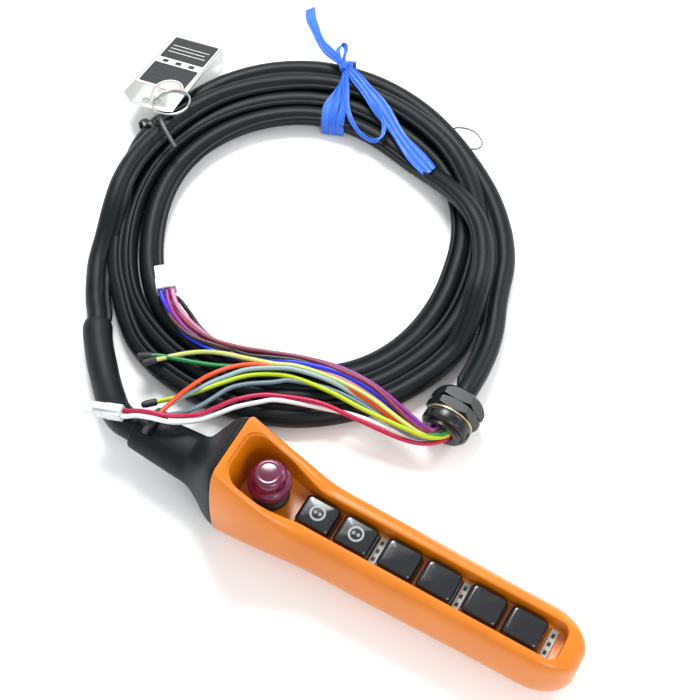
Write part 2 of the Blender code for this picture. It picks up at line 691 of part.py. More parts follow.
# ---------------------------------------------------------------- stop button
def stop_button(materials):
    place = Matrix.Translation((ESTOP_X, 0.0, 0.0))
    bore = STEM_R + GAP
    collar_low = FLOOR_Z + GAP
    collar = turned_mesh("collar", ((bore, 0.0300), (BARREL_R, 0.0300), (BARREL_R, collar_low),
                                    (COLLAR_R, collar_low), (COLLAR_R, COLLAR_TOP_Z - 0.0015),
                                    (COLLAR_R - 0.0015, COLLAR_TOP_Z), (bore, COLLAR_TOP_Z)), 24,
                         place)
    add_object("stop_collar", collar, materials["black"], 30)
    nut_inner = BARREL_R + GAP
    nut_loops = [[(ESTOP_X + x, y, z) for x, y in circle(0.0122, 6)] for z in (0.0312, 0.0350)]
    nut = add_object("stop_nut", loft_mesh("nut", nut_loops), materials["grey"])
    cut(nut, prism_mesh("nut_bore", circle(nut_inner, 20), ((0.030, 1, 1), (0.037, 1, 1)),
                        (ESTOP_X, 0.0)))
    stem_top = 0.0675
    stem = turned_mesh("stem", ((0.0, 0.0140), (STEM_R, 0.0140), (STEM_R, stem_top),
                                (0.0, stem_top)), 16, place)
    stem_object = add_object("stop_stem", stem, materials["grey"], 30)
    set_origin(stem_object, (ESTOP_X, 0.0, COLLAR_TOP_Z))
    pocket_r = 0.0088
    pocket_top = 0.0630
    head = turned_mesh("head", ((0.0, stem_top + GAP), (bore, stem_top + GAP), (bore, pocket_top),
                                (pocket_r, pocket_top), (pocket_r, HEAD_BOTTOM_Z),
                                (HEAD_R - 0.0012, HEAD_BOTTOM_Z), (HEAD_R, HEAD_BOTTOM_Z + 0.0012),
                                (HEAD_R, 0.0600), (HEAD_R - 0.0010, 0.0618), (0.0112, 0.0634),
                                (0.0108, 0.0690), (0.0098, 0.0712), (0.0070, HEAD_TOP_Z - 0.0004),
                                (0.0, HEAD_TOP_Z)), 28, place)
    head_object = add_object("stop_head", head, materials["red"], 30)
    set_origin(head_object, (ESTOP_X, 0.0, COLLAR_TOP_Z))
    spring = spring_mesh(0.0066, 0.0006, COLLAR_TOP_Z + GAP, pocket_top - GAP, 4.0, (ESTOP_X, 0.0))
    spring_object = add_object("stop_spring", spring, materials["steel"], 40)
    set_origin(spring_object, (ESTOP_X, 0.0, COLLAR_TOP_Z))


# ---------------------------------------------------------------- cable
def on_coil(angle_degrees, radius, z):
    angle = math.radians(angle_degrees)
    return (COIL_CENTRE[0] + radius * math.cos(angle), COIL_CENTRE[1] + radius * math.sin(angle), z)


JOINING = ((229.0, 0.1525), (224.0, 0.1495))
LEAD_ROUTE = [(-0.1660, 0.0, 0.0260), (-0.1745, 0.0012, 0.0236), (-0.1850, 0.0065, 0.0185),
              (-0.1965, 0.0155, 0.0145), (-0.2085, 0.0265, 0.0120), (-0.2205, 0.0385, 0.0108),
              (-0.2310, 0.0505, 0.0106), (-0.2400, 0.0635, 0.0100)]
SLEEVE_LENGTH = 0.1000
TAIL_ROUTE = [(-0.0020, 0.2118, 0.0092), (0.0052, 0.1930, 0.0098), (0.0098, 0.1752, 0.0112),
              (0.0120, 0.1580, 0.0138), (0.0127, 0.1450, 0.0160)]
GLAND_END = Vector((0.0128, 0.1345, GLAND_AXIS_Z))
GLAND_DIRECTION = Vector((0.0, -1.0, 0.0))


def swell(angle_degrees, centre, half):
    """One at centre, falling smoothly to nought half degrees away from it."""
    away = abs((angle_degrees - centre + 180.0) % 360.0 - 180.0)
    return 0.5 * (1.0 + math.cos(math.pi * min(1.0, away / half)))


def coil_limits(angle_degrees):
    """Inner and outer radius of the coil, which is wider where its turns lie less close."""
    inner = (COIL_INNER_R - 0.0060 * swell(angle_degrees, 76.0, 44.0)
             + 0.0030 * swell(angle_degrees, 325.0, 40.0)
             + 0.0012 * swell(angle_degrees, 145.0, 50.0)
             - 0.0010 * swell(angle_degrees, 205.0, 40.0))
    outer = (COIL_OUTER_R + 0.0170 * swell(angle_degrees, 128.0, 78.0)
             + 0.0050 * swell(angle_degrees, 10.0, 34.0)
             + 0.0015 * swell(angle_degrees, 220.0, 20.0))
    return inner, outer


def coil_height(angle_degrees):
    """Height of the coil, which is more where one strand crosses over another."""
    return (COIL_HEIGHT + 0.0120 * swell(angle_degrees, 200.0, 30.0)
            + 0.0120 * swell(angle_degrees, 358.0, 26.0))


def cable(materials):
    jacket = materials["jacket"]
    start = Vector((BOOT_END_X - GAP, 0.0, ENTRY_Z))
    joining = [on_coil(angle, radius, CABLE_R + GAP) for angle, radius in JOINING]
    lead = [start] + smooth_route(LEAD_ROUTE + joining, 0.0120)
    split = round(SLEEVE_LENGTH / 0.0120)
    tube("cable_sleeve", lead[:split + 1], SLEEVE_R, materials["rubber"])
    nudge = (lead[split + 1] - lead[split]).normalized() * 5.0 * GAP
    lead_part = [lead[split] + nudge] + lead[split + 1:]
    tube("cable_lead", lead_part, CABLE_R, jacket)

    direction = GLAND_DIRECTION.normalized()
    tail = smooth_route(TAIL_ROUTE + [GLAND_END], 0.0150)
    tail_part = tail + [GLAND_END + direction * 0.0150, GLAND_END + direction * 0.0310]
    tube("cable_tail", tail_part, CABLE_R, jacket)

    coil = add_object("cable_coil", coil_mesh(), jacket)
    clearance = 0.0006
    for route, radius in ((lead[split - 4:split + 1], SLEEVE_R), (lead_part, CABLE_R),
                          (tail, CABLE_R)):
        cut(coil, sweep_mesh(route, radius + clearance))


def coil_mesh(steps=60):
    """Ring with cut corners whose width and height follow the turns of the cable."""
    low = GAP
    bm = bmesh.new()
    rings = []
    for k in range(steps):
        degrees = 360.0 * k / steps
        inner, outer = coil_limits(degrees)
        high = GAP + coil_height(degrees)
        section = ((inner, low + 0.005), (inner + 0.004, low), (outer - 0.004, low),
                   (outer, low + 0.005), (outer, high - 0.005), (outer - 0.004, high),
                   (inner + 0.004, high), (inner, high - 0.005))
        rings.append([bm.verts.new(on_coil(degrees, radius, z)) for radius, z in section])
    count = len(rings[0])
    for k in range(steps):
        lower, upper = rings[k], rings[(k + 1) % steps]
        for i in range(count):
            j = (i + 1) % count
            bm.faces.new((lower[i], lower[j], upper[j], upper[i]))
    return mesh_from_bmesh("coil", bm)


def sweep_mesh(path, radius, steps=12):
    """A straight-sided sweep along path, a little longer than path at both ends."""
    first = path[0] - (path[1] - path[0]).normalized() * 0.0010
    last = path[-1] + (path[-1] - path[-2]).normalized() * 0.0010
    points = [first] + list(path) + [last]
    loops = []
    for i, point in enumerate(points):
        before = points[max(0, i - 1)]
        after = points[min(len(points) - 1, i + 1)]
        frame = axis_frame(point, after - before)
        loops.append([frame @ Vector((x, y, 0.0)) for x, y in circle(radius, steps)])
    return loft_mesh("sweep", loops)


# ---------------------------------------------------------------- gland at the far end
def gland(materials):
    frame = axis_frame(GLAND_END, GLAND_DIRECTION)
    bore = CABLE_R + GAP

    def hexagon(name, start, end, across, inner, material):
        radius = across / math.sqrt(3.0)
        loops = []
        for z, scale in ((start, 0.94), (start + 0.0015, 1.0), (end - 0.0015, 1.0), (end, 0.94)):
            points = circle(radius * scale, 6)
            loops.append([frame @ Vector((x, y, z)) for x, y in points])
        piece = add_object(name, loft_mesh(name, loops), material)
        cut(piece, turned_mesh("bore", ((0.0, start - 0.001), (inner, start - 0.001),
                                        (inner, end + 0.001), (0.0, end + 0.001)), 20, frame))
        return piece

    across = 0.0335
    hexagon("gland_nut", 0.0030, 0.0140, across, bore, materials["black"])
    body = hexagon("gland_body", 0.0143, 0.0215, across, bore, materials["black"])
    thread = turned_mesh("thread", ((bore, 0.0205), (0.0140, 0.0205), (0.0140, 0.0345),
                                    (bore, 0.0345)), 24, frame)
    join(body, thread)
    washer = ((0.0143, 0.0218), (0.0168, 0.0218), (0.0168, 0.0232), (0.0143, 0.0232))
    add_object("gland_washer", turned_mesh("washer", washer, 24, frame), materials["brass"], 30)
    lock = ((0.0143, 0.0235), (0.0160, 0.0235), (0.0170, 0.0247), (0.0170, 0.0300),
            (0.0158, 0.0318), (0.0143, 0.0318))
    add_object("gland_lock_nut", turned_mesh("lock", lock, 24, frame), materials["black"], 30)


# ---------------------------------------------------------------- conductors and connectors
BUNDLE_ROUTE = [(0.0120, 0.0968, 0.0182), (0.0055, 0.0925, 0.0205), (-0.0080, 0.0920, 0.0230),
                (-0.0230, 0.0955, 0.0245), (-0.0400, 0.1000, 0.0250)]
LEADS_A_ROUTE = [(-0.0430, 0.1035, 0.0250), (-0.0700, 0.1035, 0.0230), (-0.0960, 0.0975, 0.0220),
                 (-0.1190, 0.0895, 0.0220), (-0.1340, 0.0835, 0.0220), (-0.1520, 0.0780, 0.0220),
                 (-0.1700, 0.0775, 0.0222), (-0.1870, 0.0850, 0.0226), (-0.1960, 0.0915, 0.0236),
                 (-0.2019, 0.0967, 0.0241)]
LEADS_GREEN_ROUTE = [(-0.1180, 0.0790, 0.0212), (-0.1300, 0.0755, 0.0212),
                     (-0.1430, 0.0700, 0.0212), (-0.1580, 0.0635, 0.0212),
                     (-0.1740, 0.0540, 0.0212), (-0.1870, 0.0455, 0.0212)]
LEADS_ORANGE_ROUTE = [(-0.0425, 0.0960, 0.0240), (-0.0650, 0.0940, 0.0230),
                      (-0.0860, 0.0885, 0.0220), (-0.1060, 0.0790, 0.0220),
                      (-0.1230, 0.0665, 0.0225), (-0.1360, 0.0520, 0.0235),
                      (-0.1440, 0.0360, 0.0270), (-0.1480, 0.0220, 0.0360),
                      (-0.1505, 0.0100, 0.0430), (-0.1520, -0.0030, 0.0430)]
LEADS_B_ROUTE = [(0.0155, 0.0970, 0.0085), (0.0065, 0.0840, 0.0125), (-0.0110, 0.0790, 0.0190),
                 (-0.0320, 0.0790, 0.0225), (-0.0550, 0.0765, 0.0230), (-0.0840, 0.0670, 0.0225),
                 (-0.1040, 0.0560, 0.0220), (-0.1190, 0.0425, 0.0225), (-0.1270, 0.0280, 0.0290),
                 (-0.1340, 0.0155, 0.0420), (-0.1440, 0.0075, 0.0500), (-0.1525, 0.0040, 0.0515),
                 (-0.1615, 0.0018, 0.0465), (-0.1692, -0.0006, 0.0410)]


def conductors(materials):
    wire = materials["wire"]
    tube("lead_bundle", smooth_route(BUNDLE_ROUTE, 0.0110), 0.0062, wire)
    tube("leads_to_connector_a", smooth_route(LEADS_A_ROUTE, 0.0110), 0.0030, wire)
    tube("leads_green_pair", smooth_route(LEADS_GREEN_ROUTE, 0.0110), 0.0028, wire)
    tube("leads_orange_pair", smooth_route(LEADS_ORANGE_ROUTE, 0.0090), 0.0024, wire)
    tube("leads_to_connector_b", smooth_route(LEADS_B_ROUTE, 0.0090), 0.0026, wire)


def connectors(materials):
    """Plug housings: one two-way, longer, and one six-way, short and wide."""
    specs = (("connector_a", (-0.2035, 0.0985, 0.0240), (-0.65, 0.76, -0.05), 0.0070, 0.0050, 0.0195),
             ("connector_b", (-0.1700, -0.0008, 0.0407), (-0.93, -0.20, -0.31), 0.0046, 0.0038,
              0.0290))
    for name, origin, direction, half_x, half_y, length in specs:
        frame = axis_frame(origin, direction)
        outline = rounded_rectangle(half_x, half_y, 0.0012, 2)
        loops = [[frame @ Vector((x, y, z)) for x, y in outline] for z in (0.0, length)]
        add_object(name, loft_mesh(name, loops), materials["white"])


# ---------------------------------------------------------------- things tied to the cable
def tag(materials):
    """Folded plate leaning on the coil, one side folded down, with a split ring in its nose."""
    far_left = Vector((-0.3327, 0.3016, 0.0120))
    far_right = Vector((-0.2889, 0.3049, 0.0185))
    near_left = Vector((-0.3286, 0.2266, 0.0240))
    centre = (far_left + far_right) / 2.0
    across = (far_right - far_left).normalized()
    along = near_left - far_left
    along = (along - across * along.dot(across)).normalized()
    normal = along.cross(across)
    half = (far_right - far_left).length / 2.0
    length = 0.0820
    thick = 0.0012

    def point(u, v, w):
        return centre + across * u + along * v + normal * w

    plan = [(-half, 0.0), (half, 0.0), (half * 1.06, length * 0.75), (half * 1.10, length * 0.97),
            (half * 0.80, length), (-half * 0.50, length), (-half, length * 0.90)]
    levels = [[point(u, v, w) for u, v in plan] for w in (-thick, 0.0)]
    plate = add_object("tag_plate", loft_mesh("plate", levels), materials["steel"])
    fold = ((0.0005, 0.0), (0.0500, 0.0), (0.0470, 0.0030), (0.0250, 0.0035), (0.0170, 0.0080),
            (0.0005, 0.0160))
    edge = half - 0.0004
    sides = [[point(u, v, -0.0004) - UP * depth for v, depth in fold] for u in (edge - thick, edge)]
    join(plate, loft_mesh("fold", sides))
    rotation = Matrix((across, along, normal)).transposed().to_4x4()
    for u, v in ((-0.0011, 0.0754), (0.0075, 0.0730)):
        place = Matrix.Translation(point(u, v, 0.0)) @ rotation
        cut(plate, turned_mesh("hole", ((0.0, -0.003), (0.0031, -0.003), (0.0031, 0.003),
                                        (0.0, 0.003)), 14, place))
    ring_r = 0.0140
    place = Matrix.Translation(point(0.0195, 0.0720, 0.0016)) @ rotation
    wire = [(ring_r + x, z) for x, z in circle(0.0009, 6)]
    add_object("tag_ring", turned_mesh("ring", wire, 28, place), materials["steel"], 60)


def ties(materials):
    """Strap that holds the tag, twine round the coil, and the support wire's eye."""
    strap = smooth_route([(-0.2860, 0.2150, 0.0290), (-0.2790, 0.2110, 0.0255),
                          (-0.2710, 0.2065, 0.0225), (-0.2620, 0.2020, 0.0210)], 0.0070)
    tube("tag_tie", strap, 0.0022, materials["black"])

    angle = math.radians(TWINE_ANGLE)
    outward = Vector((math.cos(angle), math.sin(angle), 0.0))
    sideways = Vector((-math.sin(angle), math.cos(angle), 0.0))
    hub = Vector((*COIL_CENTRE, 0.0))
    top = GAP + COIL_HEIGHT + GAP
    inner, outer = coil_limits(TWINE_ANGLE)
    inside = inner - 2.0 * GAP
    outside = outer + 2.0 * GAP
    thick = 0.0012
    arch = ((inside - thick, 0.0010), (inside - thick, top + thick), (outside + thick, top + thick),
            (outside + thick, 0.0010), (outside, 0.0010), (outside, top), (inside, top),
            (inside, 0.0010))
    sides = [[hub + outward * r + sideways * side + UP * z for r, z in arch]
             for side in (-TWINE_HALF, TWINE_HALF)]
    tie = add_object("coil_tie", loft_mesh("tie", sides), materials["twine"])
    knot = hub + outward * (outside + 0.0010) + UP * (top + 0.0020)
    for route in TWINE_ENDS:
        path = [knot] + [Vector(point) for point in route]
        join(tie, sweep_mesh(path, 0.0022, 6))

    place = Matrix.Translation(EYE_CENTRE) @ Matrix.Rotation(math.radians(-20.0), 4, "Z")
    place = place @ Matrix.Diagonal((1.0, 0.62, 1.0, 1.0))
    wire = [(0.0125 + x, z) for x, z in circle(0.0010, 6)]
    add_object("support_wire_eye", turned_mesh("eye", wire, 20, place), materials["steel"], 60)


def main():
    clear_scene()
    materials = make_materials()
    front_housing(materials)
    rear_cover(materials)
    gasket(materials)
    cover_screws(materials)
    cable_boot(materials)
    cable_entry(materials)
    contact_blocks(materials)
    contact_carrier(materials)
    inner_harness(materials)
    buttons(materials)
    button_springs(materials)
    labels(materials)
    stop_button(materials)
    cable(materials)
    gland(materials)
    conductors(materials)
    connectors(materials)
    tag(materials)
    ties(materials)


main()
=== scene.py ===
"""Looks of the pendant control station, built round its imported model.

Metres, +Z up. The station lies on its back along X, with its boot at -X and its buttons facing +Z.
Its cable is coiled on the +Y side and ends in a gland, loose conductors and two plug connectors.
"""
import math

import bmesh
import bpy
from mathutils import Matrix, Vector


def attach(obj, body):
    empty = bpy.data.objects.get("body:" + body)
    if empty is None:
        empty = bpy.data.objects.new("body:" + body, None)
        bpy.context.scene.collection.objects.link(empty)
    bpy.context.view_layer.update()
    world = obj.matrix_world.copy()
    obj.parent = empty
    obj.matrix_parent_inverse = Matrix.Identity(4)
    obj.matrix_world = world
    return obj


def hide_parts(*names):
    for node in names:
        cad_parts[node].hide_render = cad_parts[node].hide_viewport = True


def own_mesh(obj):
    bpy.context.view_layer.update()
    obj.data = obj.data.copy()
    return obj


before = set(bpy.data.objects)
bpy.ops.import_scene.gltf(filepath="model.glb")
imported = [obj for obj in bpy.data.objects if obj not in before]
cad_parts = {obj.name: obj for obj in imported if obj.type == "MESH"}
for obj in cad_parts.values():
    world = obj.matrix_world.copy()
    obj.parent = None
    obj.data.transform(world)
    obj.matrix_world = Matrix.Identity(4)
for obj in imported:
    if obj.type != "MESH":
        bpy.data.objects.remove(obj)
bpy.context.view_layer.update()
UP = Vector((0.0, 0.0, 1.0))
GAP = 0.0003

# camera
CAMERA_TARGET = Vector((-0.0761, 0.1330, 0.0))
CAMERA_AZIMUTH = 30.0
CAMERA_ELEVATION = 61.5
CAMERA_DISTANCE = 1.0
CAMERA_LENS = 73.47

# station body
BOOT_END_X = -0.1605
NECK_X = -0.1180
NECK_START_R = 0.0168
NECK_END_R = 0.0138
COLLAR_X = -0.0830
NOSE_START_X = 0.1300
NOSE_X = 0.1605
NOSE_VANISH_X = 0.1612
WAIST_X = -0.0050
SWEEP_X = -0.0200
HEAD_HALF = 0.0325
WAIST_HALF = 0.0270
NOSE_HALF = 0.0245
FOOT_HALF = 0.0100
BELLY_Z = 0.0240
RIM_Z = 0.0520
HOOD_Z = 0.0860
HOOD_POWER = 1.7
RIM_HALF_WAIST = 0.0150
RIM_HALF_HEAD = 0.0195
RIM_ROUND = 0.0016
WALL = 0.0030
SPLIT_Z = 0.0100
SEAM = 0.0014
CEILING_Z = 0.0355
FLOOR_Z = 0.0380
CAVITY_START_X = -0.0800
CAVITY_END_X = 0.1500
WELL_HALF = 0.0118
WELL_END_X = 0.1465
WELL_CORNER = 0.0060
WELL_LEAN = 0.0403
LIP_TURN = math.radians(80.0)
ESTOP_X = -0.0570
POCKET_BACK_X = -0.0765
POCKET_HALF = 0.0172
POCKET_CORNER = 0.0090
BARREL_R = 0.0080
STEM_R = 0.0045
COVER_SCREWS = ((-0.0745, 0.0125), (-0.0745, -0.0125), (0.0205, 0.0), (0.0790, 0.0),
                (0.1395, 0.0))

# buttons
BUTTON_X = (-0.0225, 0.0050, 0.0360, 0.0635, 0.0945, 0.1220)
BUTTON_LENGTH = 0.0250
BUTTON_WIDTH = 0.0212
BUTTON_CORNER = 0.0030
BUTTON_TAPER = 0.955
BUTTON_BOTTOM_Z = 0.0325
BUTTON_SHOULDER_Z = 0.0452
BUTTON_TOP_Z = 0.0486
CROWN = 0.0005
CROWN_SHARE = 0.70
PLUNGER_R = 0.0030
PLUNGER_BOTTOM_Z = 0.0150
LABEL_X = (0.0205, 0.0790, 0.1388)

# cable
CABLE_R = 0.00735
RIB_TOP = 0.0105
RIB_REACH = 0.0083
SLEEVE_R = 0.0102
SLEEVE_LENGTH = 0.1020
ENTRY_Z = 0.0260
COIL_CENTRE = (-0.1490, 0.1890)
STRAND_Z = 0.0085
COIL_INNER_R = 0.1045
COIL_OUTER_R = 0.1490
STRAND_HALF = 0.0082
STRAND_PITCH = 0.0150
GLAND_END = Vector((0.0128, 0.1345, 0.0173))
GLAND_DIRECTION = Vector((0.0, -1.0, 0.0))
GLAND_ACROSS = 0.0335
MOUTH_DEPTH = 0.0300
WIRE_R = 0.0016
MM = 0.001
CORD_STEP = 0.0035
FINE_STEP = 0.0012


# ---- small helpers
def smoothstep(t):
    t = min(1.0, max(0.0, t))
    return t * t * (3.0 - 2.0 * t)


def blend(a, b, t):
    return a + (b - a) * t


def link(name, data):
    item = bpy.data.objects.new(name, data)
    bpy.context.scene.collection.objects.link(item)
    return item


def smooth(mesh, angle):
    """Smooth shading, sharp where faces meet at more than angle degrees."""
    mesh.shade_smooth()
    mesh.set_sharp_from_angle(angle=math.radians(angle))


def paint(item, material):
    item.data.materials.clear()
    item.data.materials.append(material)


def settle(piece, slot, *replaced, body="station"):
    """Put a finished piece on its body and in place of the CAD nodes it stands for. The slot is not
    used.
    """
    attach(piece, body)
    if replaced:
        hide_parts(*replaced)
    return piece


def mesh_object(name, bm, material, smooth_angle=35.0):
    bmesh.ops.recalc_face_normals(bm, faces=bm.faces)
    mesh = bpy.data.meshes.new(name)
    bm.to_mesh(mesh)
    bm.free()
    if material is not None:
        mesh.materials.append(material)
    smooth(mesh, smooth_angle)
    return link(name, mesh)


def raised(outline, z, place):
    """The outline's points at height z of place."""
    return [place @ Vector((x, y, z)) for x, y in outline]


def add_loft(bm, loops, closed_ends=True):
    rings = [[bm.verts.new(point) for point in loop] for loop in loops]
    count = len(loops[0])
    for lower, upper in zip(rings, rings[1:]):
        for i in range(count):
            j = (i + 1) % count
            bm.faces.new((lower[i], lower[j], upper[j], upper[i]))
    if closed_ends:
        bm.faces.new(rings[0])
        bm.faces.new(rings[-1])
    return rings


def loft(name, loops, material=None, smooth_angle=35.0):
    bm = bmesh.new()
    add_loft(bm, loops)
    return mesh_object(name, bm, material, smooth_angle)


def polar(radius, angle):
    return radius * math.cos(angle), radius * math.sin(angle)


def circle(radius, steps):
    return [polar(radius, 2.0 * math.pi * k / steps) for k in range(steps)]


def rounded_rectangle(half_x, half_y, corner, steps=6):
    points = []
    for quarter, (sx, sy) in enumerate(((1, 1), (-1, 1), (-1, -1), (1, -1))):
        for k in range(steps + 1):
            angle = math.pi / 2.0 * (quarter + k / steps)
            points.append((sx * (half_x - corner) + corner * math.cos(angle),
                           sy * (half_y - corner) + corner * math.sin(angle)))
    return points


def add_turned(bm, profile, steps, place):
    """Profile of (radius, height) turned round the height axis of place."""
    rings = []
    for radius, height in profile:
        if radius <= 0.0:
            rings.append([bm.verts.new(place @ Vector((0.0, 0.0, height)))])
        else:
            rings.append([bm.verts.new(place @ Vector((x, y, height)))
                          for x, y in circle(radius, steps)])
    pairs = list(zip(rings, rings[1:]))
    if all(len(ring) > 1 for ring in rings):
        pairs.append((rings[-1], rings[0]))
    for lower, upper in pairs:
        for i in range(steps):
            j = (i + 1) % steps
            if len(lower) == 1:
                bm.faces.new((lower[0], upper[j], upper[i]))
            elif len(upper) == 1:
                bm.faces.new((lower[i], lower[j], upper[0]))
            else:
                bm.faces.new((lower[i], lower[j], upper[j], upper[i]))


def turned(name, profile, place, material, steps=64, smooth_angle=35.0):
    bm = bmesh.new()
    add_turned(bm, profile, steps, place)
    return mesh_object(name, bm, material, smooth_angle)


def box(name, low, high, material=None):
    bm = bmesh.new()
    bmesh.ops.create_cube(bm, size=1.0)
    size = [b - a for a, b in zip(low, high)]
    middle = [(a + b) / 2.0 for a, b in zip(low, high)]
    bm.transform(Matrix.Translation(middle) @ Matrix.Diagonal((*size, 1.0)))
    return mesh_object(name, bm, material)


def apply_modifiers(item):
    depsgraph = bpy.context.evaluated_depsgraph_get()
    result = bpy.data.meshes.new_from_object(item.evaluated_get(depsgraph))
    item.modifiers.clear()
    item.data = result


def combine(target, tool, operation="DIFFERENCE"):
    modifier = target.modifiers.new("boolean", "BOOLEAN")
    modifier.operation = operation
    modifier.solver = "EXACT"
    modifier.object = tool
    apply_modifiers(target)
    bpy.data.objects.remove(tool, do_unlink=True)


def drill(target, place, radius, start, end, steps):
    """Cut a round hole along the height axis of place."""
    profile = ((0.0, start), (radius, start), (radius, end), (0.0, end))
    combine(target, turned("hole", profile, place, None, steps))


def soften(item, width):
    """Round the sharp edges."""
    bevel = item.modifiers.new("bevel", "BEVEL")
    bevel.width = width
    bevel.segments = 2
    bevel.limit_method = "ANGLE"
    bevel.angle_limit = math.radians(35.0)
    bevel.use_clamp_overlap = True
    apply_modifiers(item)
    smooth(item.data, 45.0)


def axis_place(origin, direction):
    """Matrix whose Z axis runs along direction and whose X axis stays level."""
    z_axis = Vector(direction).normalized()
    side = UP.cross(z_axis)
    x_axis = side.normalized() if side.length > 1e-6 else Vector((1.0, 0.0, 0.0))
    y_axis = z_axis.cross(x_axis)
    rotation = Matrix((x_axis, y_axis, z_axis)).transposed().to_4x4()
    return Matrix.Translation(origin) @ rotation


def smooth_route(route, spacing, unit=1.0):
    """Points every spacing along a Catmull-Rom curve through the route's points."""
    points = [Vector(p) * unit for p in route]
    ends = [2.0 * points[0] - points[1]] + points + [2.0 * points[-1] - points[-2]]
    fine = []
    for i in range(1, len(ends) - 2):
        a, b, c, d = ends[i - 1:i + 3]
        for k in range(16):
            t = k / 16.0
            fine.append(0.5 * (2.0 * b + (c - a) * t + (2.0 * a - 5.0 * b + 4.0 * c - d) * t ** 2
                               + (3.0 * b - a - 3.0 * c + d) * t ** 3))
    fine.append(points[-1])
    lengths = [0.0]
    for a, b in zip(fine, fine[1:]):
        lengths.append(lengths[-1] + (b - a).length)
    count = max(3, round(lengths[-1] / spacing))
    picked = []
    index = 0
    for k in range(count + 1):
        target = lengths[-1] * k / count
        while index < len(fine) - 2 and lengths[index + 1] < target:
            index += 1
        span = lengths[index + 1] - lengths[index]
        part = (target - lengths[index]) / span if span > 0.0 else 0.0
        picked.append(fine[index].lerp(fine[index + 1], part))
    return picked


def route_length(points):
    return sum((b - a).length for a, b in zip(points, points[1:]))


def sweep(name, path, section, material, ref=UP, smooth_angle=50.0):
    """Skin of section(distance), a closed loop of (side, lift) offsets, carried along path.

    The lift direction is the part of ref that is square to the path. UV runs round and along.
    """
    bm = bmesh.new()
    layer = bm.loops.layers.uv.new("UVMap")
    rings = []
    marks = []
    distance = 0.0
    last = len(path) - 1
    for i, point in enumerate(path):
        if i:
            distance += (point - path[i - 1]).length
        tangent = (path[min(i + 1, last)] - path[max(i - 1, 0)]).normalized()
        toward = ref(distance) if callable(ref) else ref
        lift = (toward - tangent * toward.dot(tangent)).normalized()
        side = tangent.cross(lift)
        rings.append([bm.verts.new(point + side * a + lift * b) for a, b in section(distance)])
        marks.append(distance)
    count = len(rings[0])
    for k in range(last):
        lower, upper = rings[k], rings[k + 1]
        for i in range(count):
            j = (i + 1) % count
            face = bm.faces.new((lower[i], lower[j], upper[j], upper[i]))
            uvs = ((i / count, marks[k]), ((i + 1) / count, marks[k]),
                   ((i + 1) / count, marks[k + 1]), (i / count, marks[k + 1]))
            for loop, uv in zip(face.loops, uvs):
                loop[layer].uv = uv
    bm.faces.new(rings[0])
    bm.faces.new(rings[-1])
    return mesh_object(name, bm, material, smooth_angle)


def wire_curve(name, points, radius, material, cyclic=False, resolution=5):
    curve = bpy.data.curves.new(name, "CURVE")
    curve.dimensions = "3D"
    curve.bevel_depth = radius
    curve.bevel_resolution = resolution
    curve.use_fill_caps = True
    curve.twist_mode = "MINIMUM"
    spline = curve.splines.new("POLY")
    spline.points.add(len(points) - 1)
    for slot, point in zip(spline.points, points):
        slot.co = (*point, 1.0)
    spline.use_cyclic_u = cyclic
    spline.use_smooth = True
    curve.materials.append(material)
    return link(name, curve)


# ---- camera, floor and light
def make_camera():
    azimuth = math.radians(CAMERA_AZIMUTH)
    elevation = math.radians(CAMERA_ELEVATION)
    back = Vector((math.sin(azimuth) * math.cos(elevation),
                   -math.cos(azimuth) * math.cos(elevation), math.sin(elevation)))
    data = bpy.data.cameras.new("camera")
    data.lens = CAMERA_LENS
    data.sensor_width = 36.0
    data.clip_start = 0.01
    camera = link("camera", data)
    camera.location = CAMERA_TARGET + back * CAMERA_DISTANCE
    camera.rotation_euler = (-back).to_track_quat("-Z", "Y").to_euler()
    bpy.context.scene.camera = camera


def area_light(name, location, size, energy, target=CAMERA_TARGET):
    data = bpy.data.lights.new(name, "AREA")
    data.shape = "DISK"
    data.size = size
    data.energy = energy
    light = link(name, data)
    light.location = location
    light.rotation_euler = (Vector(target) - Vector(location)).to_track_quat("-Z", "Y").to_euler()


def make_stage():
    floor = bpy.data.materials.new("floor")
    floor.use_nodes = True
    shader = floor.node_tree.nodes["Principled BSDF"]
    shader.inputs["Base Color"].default_value = (0.98, 0.98, 0.98, 1.0)
    shader.inputs["Roughness"].default_value = 0.75
    bm = bmesh.new()
    bmesh.ops.create_grid(bm, x_segments=1, y_segments=1, size=4.0)
    bm.transform(Matrix.Translation((0.0, 0.0, -0.0002)))
    plane = mesh_object("floor", bm, floor)
    world = bpy.data.worlds.new("world")
    world.use_nodes = True
    background = world.node_tree.nodes["Background"]
    background.inputs["Color"].default_value = (0.97, 0.985, 1.0, 1.0)
    background.inputs["Strength"].default_value = 0.80
    bpy.context.scene.world = world
    bpy.context.scene.view_settings.view_transform = "Standard"
    area_light("key", (-0.55, 0.75, 1.15), 0.55, 17.0)
    area_light("fill", (0.85, -0.55, 0.95), 0.8, 7.0)
    area_light("rim", (0.55, 0.95, 0.60), 0.4, 4.0)


